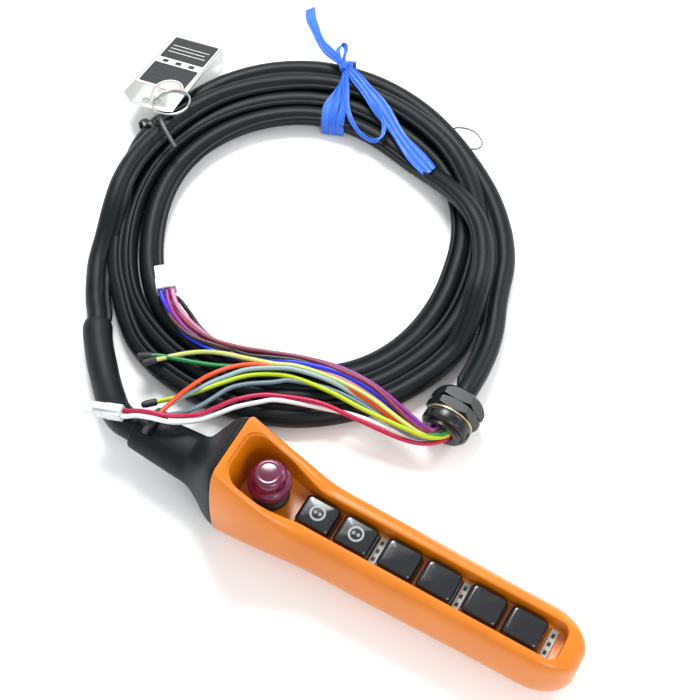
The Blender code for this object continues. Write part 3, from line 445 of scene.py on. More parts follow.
# ---- materials
def surface(name, colour, second=None, roughness=0.4, metallic=0.0, blotch=25.0, grain=900.0,
            bump=0.08, rough_spread=0.10, coat=0.0, coordinates="Object", stretch=(1.0, 1.0, 1.0),
            transmission=0.0, specular=0.5):
    """Plastic, rubber or metal: two shades in soft blotches, a fine grain and uneven gloss."""
    material = bpy.data.materials.new(name)
    material.use_nodes = True
    tree = material.node_tree
    nodes = tree.nodes
    shader = nodes["Principled BSDF"]
    second = second or tuple(c * 0.86 for c in colour)
    place = nodes.new("ShaderNodeTexCoord")
    mapping = nodes.new("ShaderNodeMapping")
    mapping.inputs["Scale"].default_value = stretch
    tree.links.new(place.outputs[coordinates], mapping.inputs["Vector"])
    wide = nodes.new("ShaderNodeTexNoise")
    wide.inputs["Scale"].default_value = blotch
    wide.inputs["Detail"].default_value = 4.0
    fine = nodes.new("ShaderNodeTexNoise")
    fine.inputs["Scale"].default_value = grain
    fine.inputs["Detail"].default_value = 2.0
    for texture in (wide, fine):
        tree.links.new(mapping.outputs["Vector"], texture.inputs["Vector"])
    shades = nodes.new("ShaderNodeValToRGB")
    shades.color_ramp.elements[0].position = 0.35
    shades.color_ramp.elements[1].position = 0.65
    shades.color_ramp.elements[0].color = (*second, 1.0)
    shades.color_ramp.elements[1].color = (*colour, 1.0)
    tree.links.new(wide.outputs["Fac"], shades.inputs["Fac"])
    tree.links.new(shades.outputs["Color"], shader.inputs["Base Color"])
    gloss = nodes.new("ShaderNodeMapRange")
    gloss.inputs["To Min"].default_value = max(0.02, roughness - rough_spread)
    gloss.inputs["To Max"].default_value = min(1.0, roughness + rough_spread)
    tree.links.new(wide.outputs["Fac"], gloss.inputs["Value"])
    tree.links.new(gloss.outputs["Result"], shader.inputs["Roughness"])
    relief = nodes.new("ShaderNodeBump")
    relief.inputs["Strength"].default_value = bump
    relief.inputs["Distance"].default_value = 0.0006
    tree.links.new(fine.outputs["Fac"], relief.inputs["Height"])
    tree.links.new(relief.outputs["Normal"], shader.inputs["Normal"])
    shader.inputs["Metallic"].default_value = metallic
    shader.inputs["Coat Weight"].default_value = coat
    shader.inputs["Coat Roughness"].default_value = 0.12
    shader.inputs["Transmission Weight"].default_value = transmission
    shader.inputs["Specular IOR Level"].default_value = specular
    return material


def make_materials():
    wires = {
        "blue": (0.008, 0.03, 0.72), "brown": (0.055, 0.018, 0.012), "purple": (0.26, 0.015, 0.22),
        "pink": (0.55, 0.20, 0.36), "black": (0.012, 0.013, 0.015), "maroon": (0.20, 0.02, 0.05),
        "yellow": (0.56, 0.60, 0.17), "green": (0.0, 0.20, 0.045), "orange": (0.78, 0.065, 0.004),
        "pale": (0.27, 0.40, 0.42), "lime": (0.44, 0.60, 0.0), "grey": (0.13, 0.20, 0.25),
        "crimson": (0.47, 0.0, 0.055), "white": (0.80, 0.82, 0.84),
    }
    found = {f"wire_{key}": surface(f"wire_{key}", colour, roughness=0.36, blotch=60.0, bump=0.03,
                                    rough_spread=0.08)
             for key, colour in wires.items()}
    found.update({
        "shell": surface("orange_plastic", (0.68, 0.190, 0.002), (0.61, 0.165, 0.002),
                         roughness=0.33, grain=1500.0, bump=0.10, coat=0.10),
        "boot": surface("boot_rubber", (0.005, 0.007, 0.009), (0.003, 0.004, 0.006),
                        roughness=0.50, grain=700.0, bump=0.16, rough_spread=0.14,
                        specular=0.20),
        "jacket": surface("cable_jacket", (0.004, 0.007, 0.009), (0.002, 0.004, 0.005),
                          roughness=0.44, blotch=9.0, grain=420.0, bump=0.10, rough_spread=0.10,
                          coordinates="UV", stretch=(3.0, 1.0, 1.0), specular=0.20),
        "sleeve": surface("sleeve_rubber", (0.005, 0.008, 0.010), (0.003, 0.005, 0.006),
                          roughness=0.50, blotch=12.0, grain=300.0, bump=0.12,
                          coordinates="UV", stretch=(3.0, 1.0, 1.0), specular=0.24),
        "button": surface("button_plastic", (0.006, 0.008, 0.010), (0.004, 0.005, 0.007),
                          roughness=0.16, blotch=90.0, grain=2500.0, bump=0.04,
                          rough_spread=0.07, coat=0.25),
        "emblem": surface("emblem_print", (0.30, 0.33, 0.33), roughness=0.45, blotch=300.0,
                          bump=0.02),
        "stop": surface("stop_plastic", (0.135, 0.004, 0.042), (0.10, 0.003, 0.030),
                        roughness=0.18, blotch=80.0, grain=2000.0, bump=0.04,
                        rough_spread=0.06, coat=0.35),
        "matt_black": surface("matt_black_plastic", (0.020, 0.022, 0.024), roughness=0.50,
                              grain=1200.0, bump=0.12),
        "satin_black": surface("satin_black_plastic", (0.006, 0.008, 0.009), roughness=0.30,
                               blotch=70.0, grain=1100.0, bump=0.07),
        "grey": surface("grey_plastic", (0.36, 0.37, 0.37), roughness=0.5, bump=0.1),
        "label": surface("label_film", (0.60, 0.63, 0.60), (0.50, 0.54, 0.52), roughness=0.35,
                         blotch=400.0, bump=0.02),
        "label_dark": surface("label_print", (0.006, 0.007, 0.008), (0.030, 0.032, 0.032),
                              roughness=0.42, blotch=900.0, bump=0.02),
        "label_white": surface("label_white", (0.74, 0.75, 0.74), roughness=0.42, blotch=200.0,
                               bump=0.02),
        # Painted reflection: an orange arc of reflected colour, laid on the tag's film as if it
        # were print.
        "label_orange": surface("label_orange", (0.70, 0.14, 0.03), roughness=0.42, blotch=200.0,
                                bump=0.02),
        "steel": surface("zinc_steel", (0.60, 0.61, 0.60), (0.48, 0.49, 0.48), roughness=0.30,
                         metallic=1.0, blotch=120.0, grain=1800.0, bump=0.05),
        "wire_steel": surface("support_wire", (0.20, 0.22, 0.21), (0.14, 0.16, 0.15),
                              roughness=0.36, metallic=0.9, blotch=300.0, grain=1800.0, bump=0.05),
        "tag": surface("tag_metal", (0.66, 0.68, 0.65), (0.56, 0.58, 0.55), roughness=0.34,
                       metallic=0.85, blotch=60.0, grain=900.0, bump=0.05,
                       stretch=(1.0, 0.08, 1.0)),
        "brass": surface("dull_brass", (0.55, 0.47, 0.30), (0.44, 0.37, 0.22), roughness=0.38,
                         metallic=0.8, blotch=200.0, bump=0.05),
        "connector": surface("milky_plastic", (0.80, 0.83, 0.83), (0.70, 0.74, 0.74),
                             roughness=0.30, blotch=150.0, grain=1500.0, bump=0.03,
                             transmission=0.12),
        "twine": surface("twine_film", (0.07, 0.26, 0.88), (0.012, 0.085, 0.62), roughness=0.34,
                         blotch=14.0, grain=70.0, bump=0.45, rough_spread=0.10,
                         coordinates="UV", stretch=(14.0, 1.6, 1.0), coat=0.1),
        "tie": surface("nylon_tie", (0.006, 0.007, 0.008), roughness=0.40, grain=1200.0,
                       bump=0.08),
    })
    return found


# ---- cable
LEAD_ROUTE = [(-0.1660, 0.0, 0.0260), (-0.1745, 0.0012, 0.0236), (-0.1850, 0.0065, 0.0185),
              (-0.1965, 0.0155, 0.0145), (-0.2085, 0.0265, 0.0120), (-0.2205, 0.0385, 0.0108),
              (-0.2310, 0.0505, 0.0106), (-0.2400, 0.0635, 0.0100)]
JOINING = ((229.0, 0.1525), (224.0, 0.1495))
TAIL_ROUTE = [(-0.0020, 0.2118, 0.0092), (0.0052, 0.1930, 0.0098), (0.0098, 0.1752, 0.0112),
              (0.0120, 0.1580, 0.0138), (0.0127, 0.1450, 0.0160)]
RIB_TURN = 52.0
TIE_ANGLE = 169.5
TWINE_ANGLE = 107.5
COIL_START = 217.0
COIL_END = 14.0 - 1080.0
# Where the coil is wider or narrower: by how much, at which angle, and how far to either side.
INNER_SWELLS = ((-0.0060, 76.0, 44.0), (0.0030, 325.0, 40.0), (0.0012, 145.0, 50.0),
                (-0.0030, 207.0, 36.0), (-0.0016, 45.0, 22.0))
OUTER_SWELLS = ((0.0170, 128.0, 78.0), (0.0050, 10.0, 34.0), (0.0015, 220.0, 20.0),
                (0.0036, 32.0, 34.0), (0.0042, 178.0, 24.0))


def outward_at(angle_degrees):
    return Vector((*polar(1.0, math.radians(angle_degrees)), 0.0))


def on_coil(angle_degrees, radius, z):
    return Vector((*COIL_CENTRE, z)) + outward_at(angle_degrees) * radius


def swell(angle_degrees, centre, half):
    """One at centre, falling smoothly to nought half degrees away from it."""
    away = abs((angle_degrees - centre + 180.0) % 360.0 - 180.0)
    return 0.5 * (1.0 + math.cos(math.pi * min(1.0, away / half)))


def coil_limits(angle_degrees):
    """Inner and outer radius of the coil, which is wider where its turns lie less close."""
    return [start + sum(size * swell(angle_degrees, centre, half) for size, centre, half in swells)
            for start, swells in ((COIL_INNER_R, INNER_SWELLS), (COIL_OUTER_R, OUTER_SWELLS))]


def lanes(angle_degrees):
    """Radii of the four lanes, outermost first, and how high the second rides in its groove.

    Along the -Y side the first lane is empty and the other three lie flat, side by side.
    """
    inner, outer = coil_limits(angle_degrees)
    first = outer - STRAND_HALF
    last = inner + STRAND_HALF
    third = last + STRAND_PITCH
    second = (first + third) / 2.0
    rise = math.sqrt(max(0.0, STRAND_PITCH ** 2 - (first - second) ** 2))
    away = abs((angle_degrees - 298.0 + 180.0) % 360.0 - 180.0)
    low = 1.0 - smoothstep((away - 46.0) / 24.0)
    flat = (first + 0.0180, first, (first + last) / 2.0, last)
    radii = [blend(a, b, low) for a, b in zip((first, second, third, last), flat)]
    return radii, 0.88 * rise * (1.0 - low)


def bump(angle, centre, half):
    """Like swell, for an unwrapped angle."""
    return 0.5 * (1.0 + math.cos(math.pi * min(1.0, abs(angle - centre) / half)))


def coil_point(angle):
    """The cable's axis at an unwrapped angle, in degrees, that falls as the cable winds on.

    The cable starts outermost, climbs over the last turn into the second lane, and works its way
    to the inside. On the +X side it climbs back over two lanes, and it ends up outermost.
    """
    lane = smoothstep((220.0 - angle) / 48.0) + smoothstep((70.0 - angle) / 60.0)
    lane += smoothstep((-290.0 - angle) / 60.0) - 2.0 * smoothstep((-644.0 - angle) / 88.0)
    lane = max(0.0, lane - smoothstep((-875.0 - angle) / 40.0))
    radii, rise = lanes(angle)
    number = min(2, int(lane))
    radius = blend(radii[number], radii[number + 1], lane - number)
    radius += 0.0065 * (1.0 - smoothstep((226.0 - angle) / 22.0))
    radius += 0.0004 * math.sin(math.radians(angle * 1.7))
    riding = smoothstep((215.0 - angle) / 20.0) * (1.0 - smoothstep((70.0 - angle) / 45.0))
    riding += smoothstep((-688.0 - angle) / 28.0) * (1.0 - smoothstep((-725.0 - angle) / 55.0))
    lift = rise * riding + 0.0045 * bump(angle, 192.0, 34.0) + 0.0165 * bump(angle, -690.0, 44.0)
    return on_coil(angle, radius, STRAND_Z + lift)


def cable_route():
    route = [(BOOT_END_X - GAP, 0.0, ENTRY_Z)] + LEAD_ROUTE
    route += [on_coil(angle, radius, STRAND_Z + rise)
              for (angle, radius), rise in zip(JOINING, (0.0002, 0.0012))]
    steps = round((COIL_START - COIL_END) / 8.0)
    route += [coil_point(blend(COIL_START, COIL_END, k / steps)) for k in range(steps + 1)]
    route += TAIL_ROUTE + [GLAND_END, GLAND_END + GLAND_DIRECTION * 0.0150]
    return route + [GLAND_END + GLAND_DIRECTION * MOUTH_DEPTH]


def jacket_section(distance, length):
    """Round jacket with the support wire's rib, which has been cut away inside both fittings."""
    rib = smoothstep((distance - 0.095) / 0.01) * smoothstep((length - 0.0315 - distance) / 0.006)
    turn = math.radians(RIB_TURN + 24.0 * math.sin(distance * 4.3 + 0.6)
                        + 9.0 * math.sin(distance * 12.0))
    rib_r = RIB_TOP - RIB_REACH
    half = math.asin(rib_r / RIB_REACH) * 1.3
    points = []
    for k in range(24):
        angle = half + (2.0 * math.pi - 2.0 * half) * k / 23
        points.append((angle, CABLE_R))
    for k in range(1, 12):
        angle = -half + 2.0 * half * k / 12
        inside = rib_r ** 2 - (RIB_REACH * math.sin(angle)) ** 2
        radius = CABLE_R
        if inside > 0.0:
            radius = max(CABLE_R, RIB_REACH * math.cos(angle) + math.sqrt(inside))
        points.append((angle, blend(CABLE_R, radius, rib)))
    return [(r * math.sin(a + turn), r * math.cos(a + turn)) for a, r in points]


def make_cable(materials):
    path = smooth_route(cable_route(), CORD_STEP)
    length = route_length(path)
    cable = sweep("cable", path, lambda d: jacket_section(d, length), materials["jacket"])
    settle(cable, "cable_jacket", "cable_lead", "cable_coil", "cable_tail")

    covered = [p for i, p in enumerate(path) if route_length(path[:i + 1]) <= SLEEVE_LENGTH]

    def sleeve_section(distance):
        lip = 1.0 - 0.10 * smoothstep((distance - SLEEVE_LENGTH + 0.004) / 0.004)
        wave = 1.0 + 0.012 * math.sin(distance * 210.0) * smoothstep(distance / 0.02)
        return circle(SLEEVE_R * lip * wave, 40)

    sleeve = sweep("cable_sleeve_tube", covered, sleeve_section, materials["sleeve"])
    return cable, settle(sleeve, "sleeve_rubber", "cable_sleeve"), path


# ---- gland
def make_gland(materials):
    """Dome nut, hexagon body, threaded tube, washer and lock nut on the cable's end."""
    place = axis_place(GLAND_END, GLAND_DIRECTION)
    bore = CABLE_R + 2.0 * GAP
    flat = GLAND_ACROSS / 2.0
    corner = GLAND_ACROSS / math.sqrt(3.0)

    def hexagon(name, start, end, dome, node):
        piece = loft(name, [raised(circle(corner, 6), z, place) for z in (start, end)],
                     materials["satin_black"])
        if dome:
            profile = ((0.0, start), (0.0112, start), (0.0153, start + 0.0012),
                       (0.0181, start + 0.0040), (corner, start + 0.0062),
                       (corner * 1.01, end - 0.0012), (flat, end), (0.0, end))
        else:
            profile = ((0.0, start), (flat, start), (corner * 1.01, start + 0.0014),
                       (corner * 1.01, end - 0.0014), (flat, end), (0.0, end))
        combine(piece, turned("barrel", profile, place, None, 72), "INTERSECT")
        drill(piece, place, bore, start - 0.001, end + 0.001, 48)
        soften(piece, 0.0003)
        return settle(piece, "gland_black", node)

    pieces = [hexagon("gland_dome_nut", 0.0030, 0.0140, True, "gland_nut"),
              hexagon("gland_hex_body", 0.0143, 0.0215, False, "gland_body")]

    bm = bmesh.new()
    steps = 48
    turns = 9
    start, end = 0.0215, 0.0345
    pitch = (end - start) / turns
    rings = []
    for k in range(turns * steps + 1):
        angle = 2.0 * math.pi * k / steps
        z = start + pitch * (k / steps) * (turns - 1.0) / turns
        ring = []
        for radius, rise in ((0.0132, 0.0), (0.0140, pitch * 0.35), (0.0140, pitch * 0.55),
                             (0.0132, pitch * 0.9)):
            ring.append(bm.verts.new(place @ Vector((*polar(radius, angle), z + rise))))
        rings.append(ring)
    for lower, upper in zip(rings, rings[1:]):
        for i in range(3):
            bm.faces.new((lower[i], lower[i + 1], upper[i + 1], upper[i]))
    add_turned(bm, ((bore, 0.0205), (0.0133, 0.0205), (0.0133, 0.0339), (0.0127, 0.0345),
                    (bore + 0.001, 0.0345), (bore, 0.0335)), 48, place)
    pieces.append(settle(mesh_object("gland_thread", bm, materials["satin_black"]),
                         "gland_black"))

    washer = turned("gland_seal_ring", ((0.0144, 0.0217), (0.0164, 0.0217), (0.0169, 0.0221),
                                        (0.0169, 0.0229), (0.0164, 0.0233), (0.0144, 0.0233)),
                    place, materials["brass"])
    pieces.append(settle(washer, "washer_brass", "gland_washer"))

    profile = ((0.0143, 0.0236), (0.0157, 0.0236), (0.0169, 0.0242), (0.0171, 0.0256),
               (0.0171, 0.0290), (0.0167, 0.0306), (0.0157, 0.0316), (0.0148, 0.0318),
               (0.0143, 0.0314))
    lock = turned("gland_ring_nut", profile, place, materials["satin_black"])
    for k in range(6):
        turn = place @ Matrix.Rotation(math.radians(60.0 * k + 12.0), 4, "Z")
        notch = box("notch", (0.0160, -0.0017, 0.0262), (0.0185, 0.0017, 0.0330))
        notch.data.transform(turn)
        combine(lock, notch)
    return pieces + [settle(lock, "gland_black", "gland_lock_nut")]


# ---- conductors
PLUG_A = {"origin": (-0.2035, 0.0985, 0.0240), "direction": (-0.65, 0.76, -0.05),
          "half_x": 0.0070, "half_y": 0.0050, "length": 0.0195}
CAVITY_HALF = 0.0017
PLUG_B = {"origin": (-0.1700, -0.0008, 0.0407), "direction": (-0.93, -0.20, -0.31),
          "half_x": 0.0046, "half_y": 0.0038, "length": 0.0290}
# In millimetres: place in the gland's mouth (x, z), y and z at each SHARED_X, and its own route
# from there on.
CONDUCTORS = (
    ("purple", (-3.1, 5.2), ((98.5, 24), (106, 24.8), (107.5, 22.5), (102.5, 21.2)),
     [(-119, 93.5, 20.8), (-134, 88, 20.6), (-153, 80.5, 20.8), (-171, 79.5, 22.2),
      (-186, 84, 24), (-195, 89.5, 25.5)]),
    ("blue", (-4.7, 2.7), ((95, 26.2), (101, 27), (102.5, 25), (96.5, 24)),
     [(-115, 88, 22.2), (-128.1, 82.4, 21.5), (-141, 78, 21.2), (-154.2, 75.9, 21),
      (-175.3, 77.2, 21.2), (-188.6, 84.2, 22.6), (-197.5, 88.5, 25)]),
    ("brown", (0, 5.2), ((96.5, 21.5), (104.5, 22.2), (106, 20), (99.5, 20.8)),
     [(-119, 90.5, 20.6), (-134, 85, 20.6), (-153, 79, 23.6), (-171, 77, 24), (-187, 81.5, 23),
      (-196, 87, 22.2)]),
    ("black", (-6.1, 0), ((93.5, 22.2), (100.5, 22.2), (102, 21.2), (98, 23.8)),
     [(-115, 89.5, 23.6), (-129, 84.2, 22.5), (-149.9, 83.2, 20), (-169.2, 89, 13.5),
      (-185, 95.8, 16), (-193, 98, 21.5)]),
    ("maroon", (-1.6, 2.6), ((93.5, 28.5), (102.8, 29.2), (104, 26.2), (101, 23.8)),
     [(-119, 92, 23.6), (-134, 86.6, 23.6), (-153, 82.2, 23.6), (-170, 82.5, 24),
      (-185, 87, 23.2), (-193.5, 91.5, 22.2)]),
    ("pink", (-3.1, -0.2), ((91.2, 24), (98.8, 24.4), (100, 23.2), (96.2, 20.8)),
     [(-119, 87.6, 20.5), (-134, 82.2, 20.5), (-153, 83, 20.6), (-170, 85, 22.2),
      (-184, 89, 24.5), (-192, 93, 25.8)]),
    ("green", (3.1, 5.1), ((92, 21.4), (97.5, 21.5), (98.5, 20.6), (93.8, 20.8)),
     [(-106, 87, 21), (-124.6, 76.8, 21), (-141, 68.7, 20.5), (-154.5, 63.3, 20.4),
      (-167.2, 59, 20.4), (-181.3, 54.3, 20.7), (-190.6, 48.7, 20.7)]),
    ("yellow", (3.1, -0.1), ((90.5, 27.2), (96, 27.2), (97.5, 24), (93.5, 24)),
     [(-109, 87, 23.8), (-127.3, 81.1, 24), (-142, 76.8, 23.8), (-155.7, 71.5, 22.2),
      (-169.3, 62.4, 20.6), (-185, 46.7, 20.6)]),
    ("orange", (1.5, 2.6), ((89, 24), (94.5, 24.6), (96, 21.8), (92.2, 22.6)),
     [(-108.7, 85.5, 23), (-122, 79, 23.6), (-133.2, 70.2, 23.2), (-141.7, 57.1, 25),
      (-145.3, 43.8, 30), (-146.7, 28, 37.8), (-147.6, 12.9, 42.8), (-148.6, -2.6, 44)]),
    ("pale", (-4.6, -2.6), ((89, 21), (93.5, 21.3), (94.5, 24.2), (90, 25)),
     [(-107.6, 83.5, 24.5), (-122.7, 73.8, 23.8), (-132, 63, 23), (-139.1, 52.7, 23.2),
      (-144, 40, 27), (-147.5, 25.4, 35), (-150.7, 7.7, 42.4)]),
    ("lime", (4.7, 2.6), ((87.8, 26.2), (87.3, 24), (88.2, 22.2), (85.5, 21.5)),
     [(-109.1, 79.1, 21.5), (-121.9, 70, 21.5), (-133.2, 56.7, 21.8), (-141, 45, 23.6),
      (-149.6, 33.3, 26.2), (-163.5, 16.7, 30.5)]),
    ("grey", (-1.5, -3), ((86.8, 22.2), (90.5, 22.2), (90.5, 21), (83, 20.8)),
     [(-102.9, 75.9, 20.8), (-117.7, 65.7, 20.8), (-125.5, 57, 22), (-129, 48, 24),
      (-132, 35.6, 29), (-136.5, 23.2, 35), (-148.1, 8.6, 41.2)]),
    ("crimson", (4.6, -2.8), ((83, 19.2), (79.6, 22), (77.2, 23.2), (69, 21.8)),
     [(-106.1, 62.2, 21.8), (-118, 50, 23.5), (-122.5, 36, 32), (-126.2, 22, 43),
      (-137.5, 11.2, 48.5), (-150, 5.8, 50), (-160, 3.6, 46.5)]),
    ("white", (2.6, -5.5), ((86.2, 20.2), (82, 21.6), (75.2, 20.2), (65.8, 21.2)),
     [(-103, 58.2, 21.4), (-114.2, 46.4, 23.2), (-119, 32.5, 32.5), (-123.5, 18, 44),
      (-135.2, 7.2, 48.8), (-150, 2, 50), (-160, 0, 46)]),
)
SHARED_X = (-8, -40, -67, -93)


def conductor(colour, mouth, shared, own, materials, plug=None, cavity_place=None):
    """One insulated conductor from the gland's mouth to its own end, or into a plug's cavity."""
    centre = GLAND_END + GLAND_DIRECTION * MOUTH_DEPTH
    route = [centre + Vector((mouth[0], drop, mouth[1])) * MM for drop in (3.0, -4.0)]
    passing = [Vector((x, y, z)) * MM for x, (y, z) in zip(SHARED_X, shared)]
    route.append(blend(route[-1] + Vector((0.0, -6.0, 0.0)) * MM, passing[0], 0.42)
                 + Vector((1.375, 0.0, 0.0)) * MM)
    route += passing + [Vector(point) * MM for point in own]
    if plug is not None:
        place = axis_place(plug["origin"], plug["direction"])
        route += [place @ Vector((*cavity_place, depth)) for depth in (-0.0035, 0.0030)]
    path = smooth_route(route, CORD_STEP)
    wire = wire_curve(f"conductor_{colour}", path, WIRE_R, materials[f"wire_{colour}"])
    return settle(wire, "wire_insulation"), path


def end_cap(name, path, materials):
    """Black insulated end pushed over the conductor's last stretch."""
    direction = (path[-1] - path[-3]).normalized()
    place = axis_place(path[-1] - direction * 0.0060, direction)
    profile = ((0.0, 0.0), (0.0022, 0.0), (0.0025, 0.0004), (0.0025, 0.0075), (0.0021, 0.0095),
               (0.0010, 0.0104), (0.0, 0.0106))
    return settle(turned(name, profile, place, materials["matt_black"], 24), "tie_black")


def make_conductors(materials, plug_a, plug_b):
    plugs = {
        "purple": (PLUG_A, (0.0, 0.0018), plug_a), "brown": (PLUG_A, (0.0040, -0.0018), plug_a),
        "blue": (PLUG_A, (0.0040, 0.0018), plug_a), "pink": (PLUG_A, (-0.0040, 0.0018), plug_a),
        "maroon": (PLUG_A, (0.0, -0.0018), plug_a), "black": (PLUG_A, (-0.0040, -0.0018), plug_a),
        "crimson": (PLUG_B, (-0.0020, 0.0), plug_b), "white": (PLUG_B, (0.0020, 0.0), plug_b),
    }
    nodes = {"purple": ("leads_to_connector_a", "lead_bundle"), "green": ("leads_green_pair",),
             "orange": ("leads_orange_pair",), "crimson": ("leads_to_connector_b",)}
    for row in CONDUCTORS:
        colour = row[0]
        if colour in plugs:
            plug, cavity_place, pieces = plugs[colour]
            wire, path = conductor(*row, materials, plug, cavity_place)
        else:
            wire, path = conductor(*row, materials)
            pieces = [end_cap(f"end_cap_{colour}", path, materials)]
        if colour in nodes:
            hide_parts(*nodes[colour])


def make_plug(name, node, spec, columns, rows, materials):
    """Milky plug housing with a step, a latch arm and a cavity for each conductor."""
    place = axis_place(spec["origin"], spec["direction"])
    length = spec["length"]
    hx, hy = spec["half_x"], spec["half_y"]
    levels = ((0.0, 0.97), (0.0004, 1.0), (length * 0.42, 1.0), (length * 0.44, 0.93),
              (length - 0.0005, 0.92), (length, 0.89))
    shell = loft(name, [raised(rounded_rectangle(hx * scale, hy * scale, 0.0007, 3), z, place)
                        for z, scale in levels], materials["connector"])
    for column in range(columns):
        for row in range(rows):
            x = (column - (columns - 1) / 2.0) * (2.0 * hx / columns) * 0.90
            y = (row - (rows - 1) / 2.0) * (2.0 * hy / rows) * 0.86
            for low, high in ((-0.001, length * 0.22), (length * 0.60, length + 0.001)):
                hole = box("cavity", (x - CAVITY_HALF, y - CAVITY_HALF, low),
                           (x + CAVITY_HALF, y + CAVITY_HALF, high))
                hole.data.transform(place)
                combine(shell, hole)
    settle(shell, "connector_white", node)

    bm = bmesh.new()
    arm = ((0.0, 0.0), (0.0, 0.0006), (0.30, 0.0018), (0.62, 0.0018), (0.66, 0.0026),
           (0.72, 0.0012), (0.30, 0.0008))
    loops = [[place @ Vector((x, hy + rise, length * along)) for along, rise in arm]
             for x in (-hx * 0.38, hx * 0.38)]
    add_loft(bm, loops)
    latch = mesh_object(f"{name}_latch", bm, materials["connector"])
    soften(latch, 0.00015)
    return [shell, settle(latch, "connector_white")]


# ---- things on the coil
def tag_plane():
    """Place of the tag's face, half its width and its length."""
    far_left = Vector((-0.3327, 0.3016, 0.0120))
    far_right = Vector((-0.2889, 0.3049, 0.0185))
    near_left = Vector((-0.3286, 0.2266, 0.0240))
    across = (far_right - far_left).normalized()
    along = near_left - far_left
    along = (along - across * along.dot(across)).normalized()
    half = (far_right - far_left).length / 2.0
    centre = (far_left + far_right) / 2.0
    turn = Matrix((across, along, along.cross(across))).transposed().to_4x4()
    return Matrix.Translation(centre) @ turn, half, 0.0820


def joined(name, pieces, material, slot):
    """One object from several meshes that share a material."""
    bm = bmesh.new()
    for piece in pieces:
        bm.from_mesh(piece.data)
        bpy.data.objects.remove(piece)
    return settle(mesh_object(name, bm, material), slot)


def slab(name, place, outline, low, high, material=None):
    return loft(name, [raised(outline, z, place) for z in (low, high)], material)


def make_tag(materials):
    """Folded tag plate with its holes, its printed film, an orange arc of painted reflection and
    the split ring.
    """
    place, half, length = tag_plane()
    thick = 0.0012
    ink = 0.00012
    plan = [(-half, 0.0), (half, 0.0), (half * 1.06, length * 0.75), (half * 1.10, length * 0.97),
            (half * 0.80, length), (-half * 0.50, length), (-half, length * 0.90)]
    plate = slab("tag_bracket", place, plan, -thick, 0.0, materials["tag"])
    down = place.inverted().to_3x3() @ -UP
    fold = ((0.0005, 0.0), (0.0500, 0.0), (0.0470, 0.0030), (0.0250, 0.0035), (0.0170, 0.0080),
            (0.0005, 0.0160))
    edge = half - 0.0002
    sides = [[place @ (Vector((u, v, -0.0004)) + down * depth) for v, depth in fold]
             for u in (edge - thick, edge)]
    combine(plate, loft("fold", sides), "UNION")
    for u, v, radius in ((-0.0011, 0.0754, 0.0031), (0.0075, 0.0730, 0.0031),
                         (0.0034, 0.0690, 0.0012)):
        drill(plate, place @ Matrix.Translation((u, v, 0.0)), radius, -0.003, 0.003, 32)
    soften(plate, 0.00025)
    settle(plate, "tag_metal", "tag_plate")

    dark, light = [], []

    def panel(group, x0, x1, y0, y1, level, corner=0.0012):
        outline = rounded_rectangle((x1 - x0) / 2.0, (y1 - y0) / 2.0, corner, 3)
        spot = place @ Matrix.Translation(((x0 + x1) / 2.0, (y0 + y1) / 2.0, 0.0))
        group.append(slab("panel", spot, outline, level - ink, level))

    def arch(outer, inner, level=0.00044):
        spot = place @ Matrix.Translation((0.0086, 0.0595, 0.0))
        arc = [math.pi + math.pi * k / 24 for k in range(25)]
        outline = [polar(outer, a) for a in arc]
        if inner > 0.0:
            outline += [polar(inner, a) for a in reversed(arc)]
        return slab("arch", spot, outline, level - ink, level)

    reach = 0.0761
    edge = half - 0.0016
    panel(light, -edge, edge, 0.0012, reach * 0.775, 0.00018)
    panel(dark, -edge + 0.0014, edge - 0.0010, reach * 0.020, reach * 0.345, 0.00032)
    for k, y in enumerate((0.14, 0.19, 0.24)):
        end = (edge - 0.004) * (1.0 - 0.12 * (k % 2))
        panel(light, -edge + 0.0045, end, reach * y, reach * y + 0.0006, 0.00044, 0.0002)
    for k in range(3):
        x = -edge + 0.0065 + 0.0115 * k
        panel(dark, x, x + 0.0048, reach * 0.368, reach * 0.412, 0.00032, 0.0005)
    panel(dark, -edge + 0.0014, edge - 0.0010, reach * 0.433, reach * 0.750, 0.00032)
    light += [arch(0.0118, 0.0105), arch(0.0094, 0.0)]
    pieces = [plate,
              # The orange arch between the two white ones is a painted reflection, not print.
              joined("tag_orange_reflection", [arch(0.0105, 0.0094)], materials["label_orange"], "label_film"),
              joined("tag_print_dark", dark, materials["label_dark"], "label_film"),
              joined("tag_print_light", light, materials["label_white"], "label_film")]

    side = [[place @ (Vector((u, v, -0.0010)) + down * depth)
             for v, depth in ((0.0020, 0.0), (0.0440, 0.0), (0.0440, 0.0016), (0.0240, 0.0020),
                              (0.0160, 0.0062), (0.0020, 0.0140))]
            for u in (half - 0.0002, half + 0.0001)]
    pieces.append(settle(loft("tag_side_film", side, materials["label_white"]), "label_film"))

    spot = place @ Matrix.Translation((0.0195, 0.0720, 0.0016))
    points = [spot @ Vector((*polar(0.0140, 4.0 * math.pi * k / 96), 0.0011 * (k / 96.0 - 0.5)))
              for k in range(97)]
    ring = wire_curve("split_ring", points, 0.00075, materials["steel"])
    return pieces + [settle(ring, "ring_steel", "tag_ring")]


def strap_section(width, thickness):
    return rounded_rectangle(thickness / 2.0, width / 2.0, thickness * 0.45, 2)


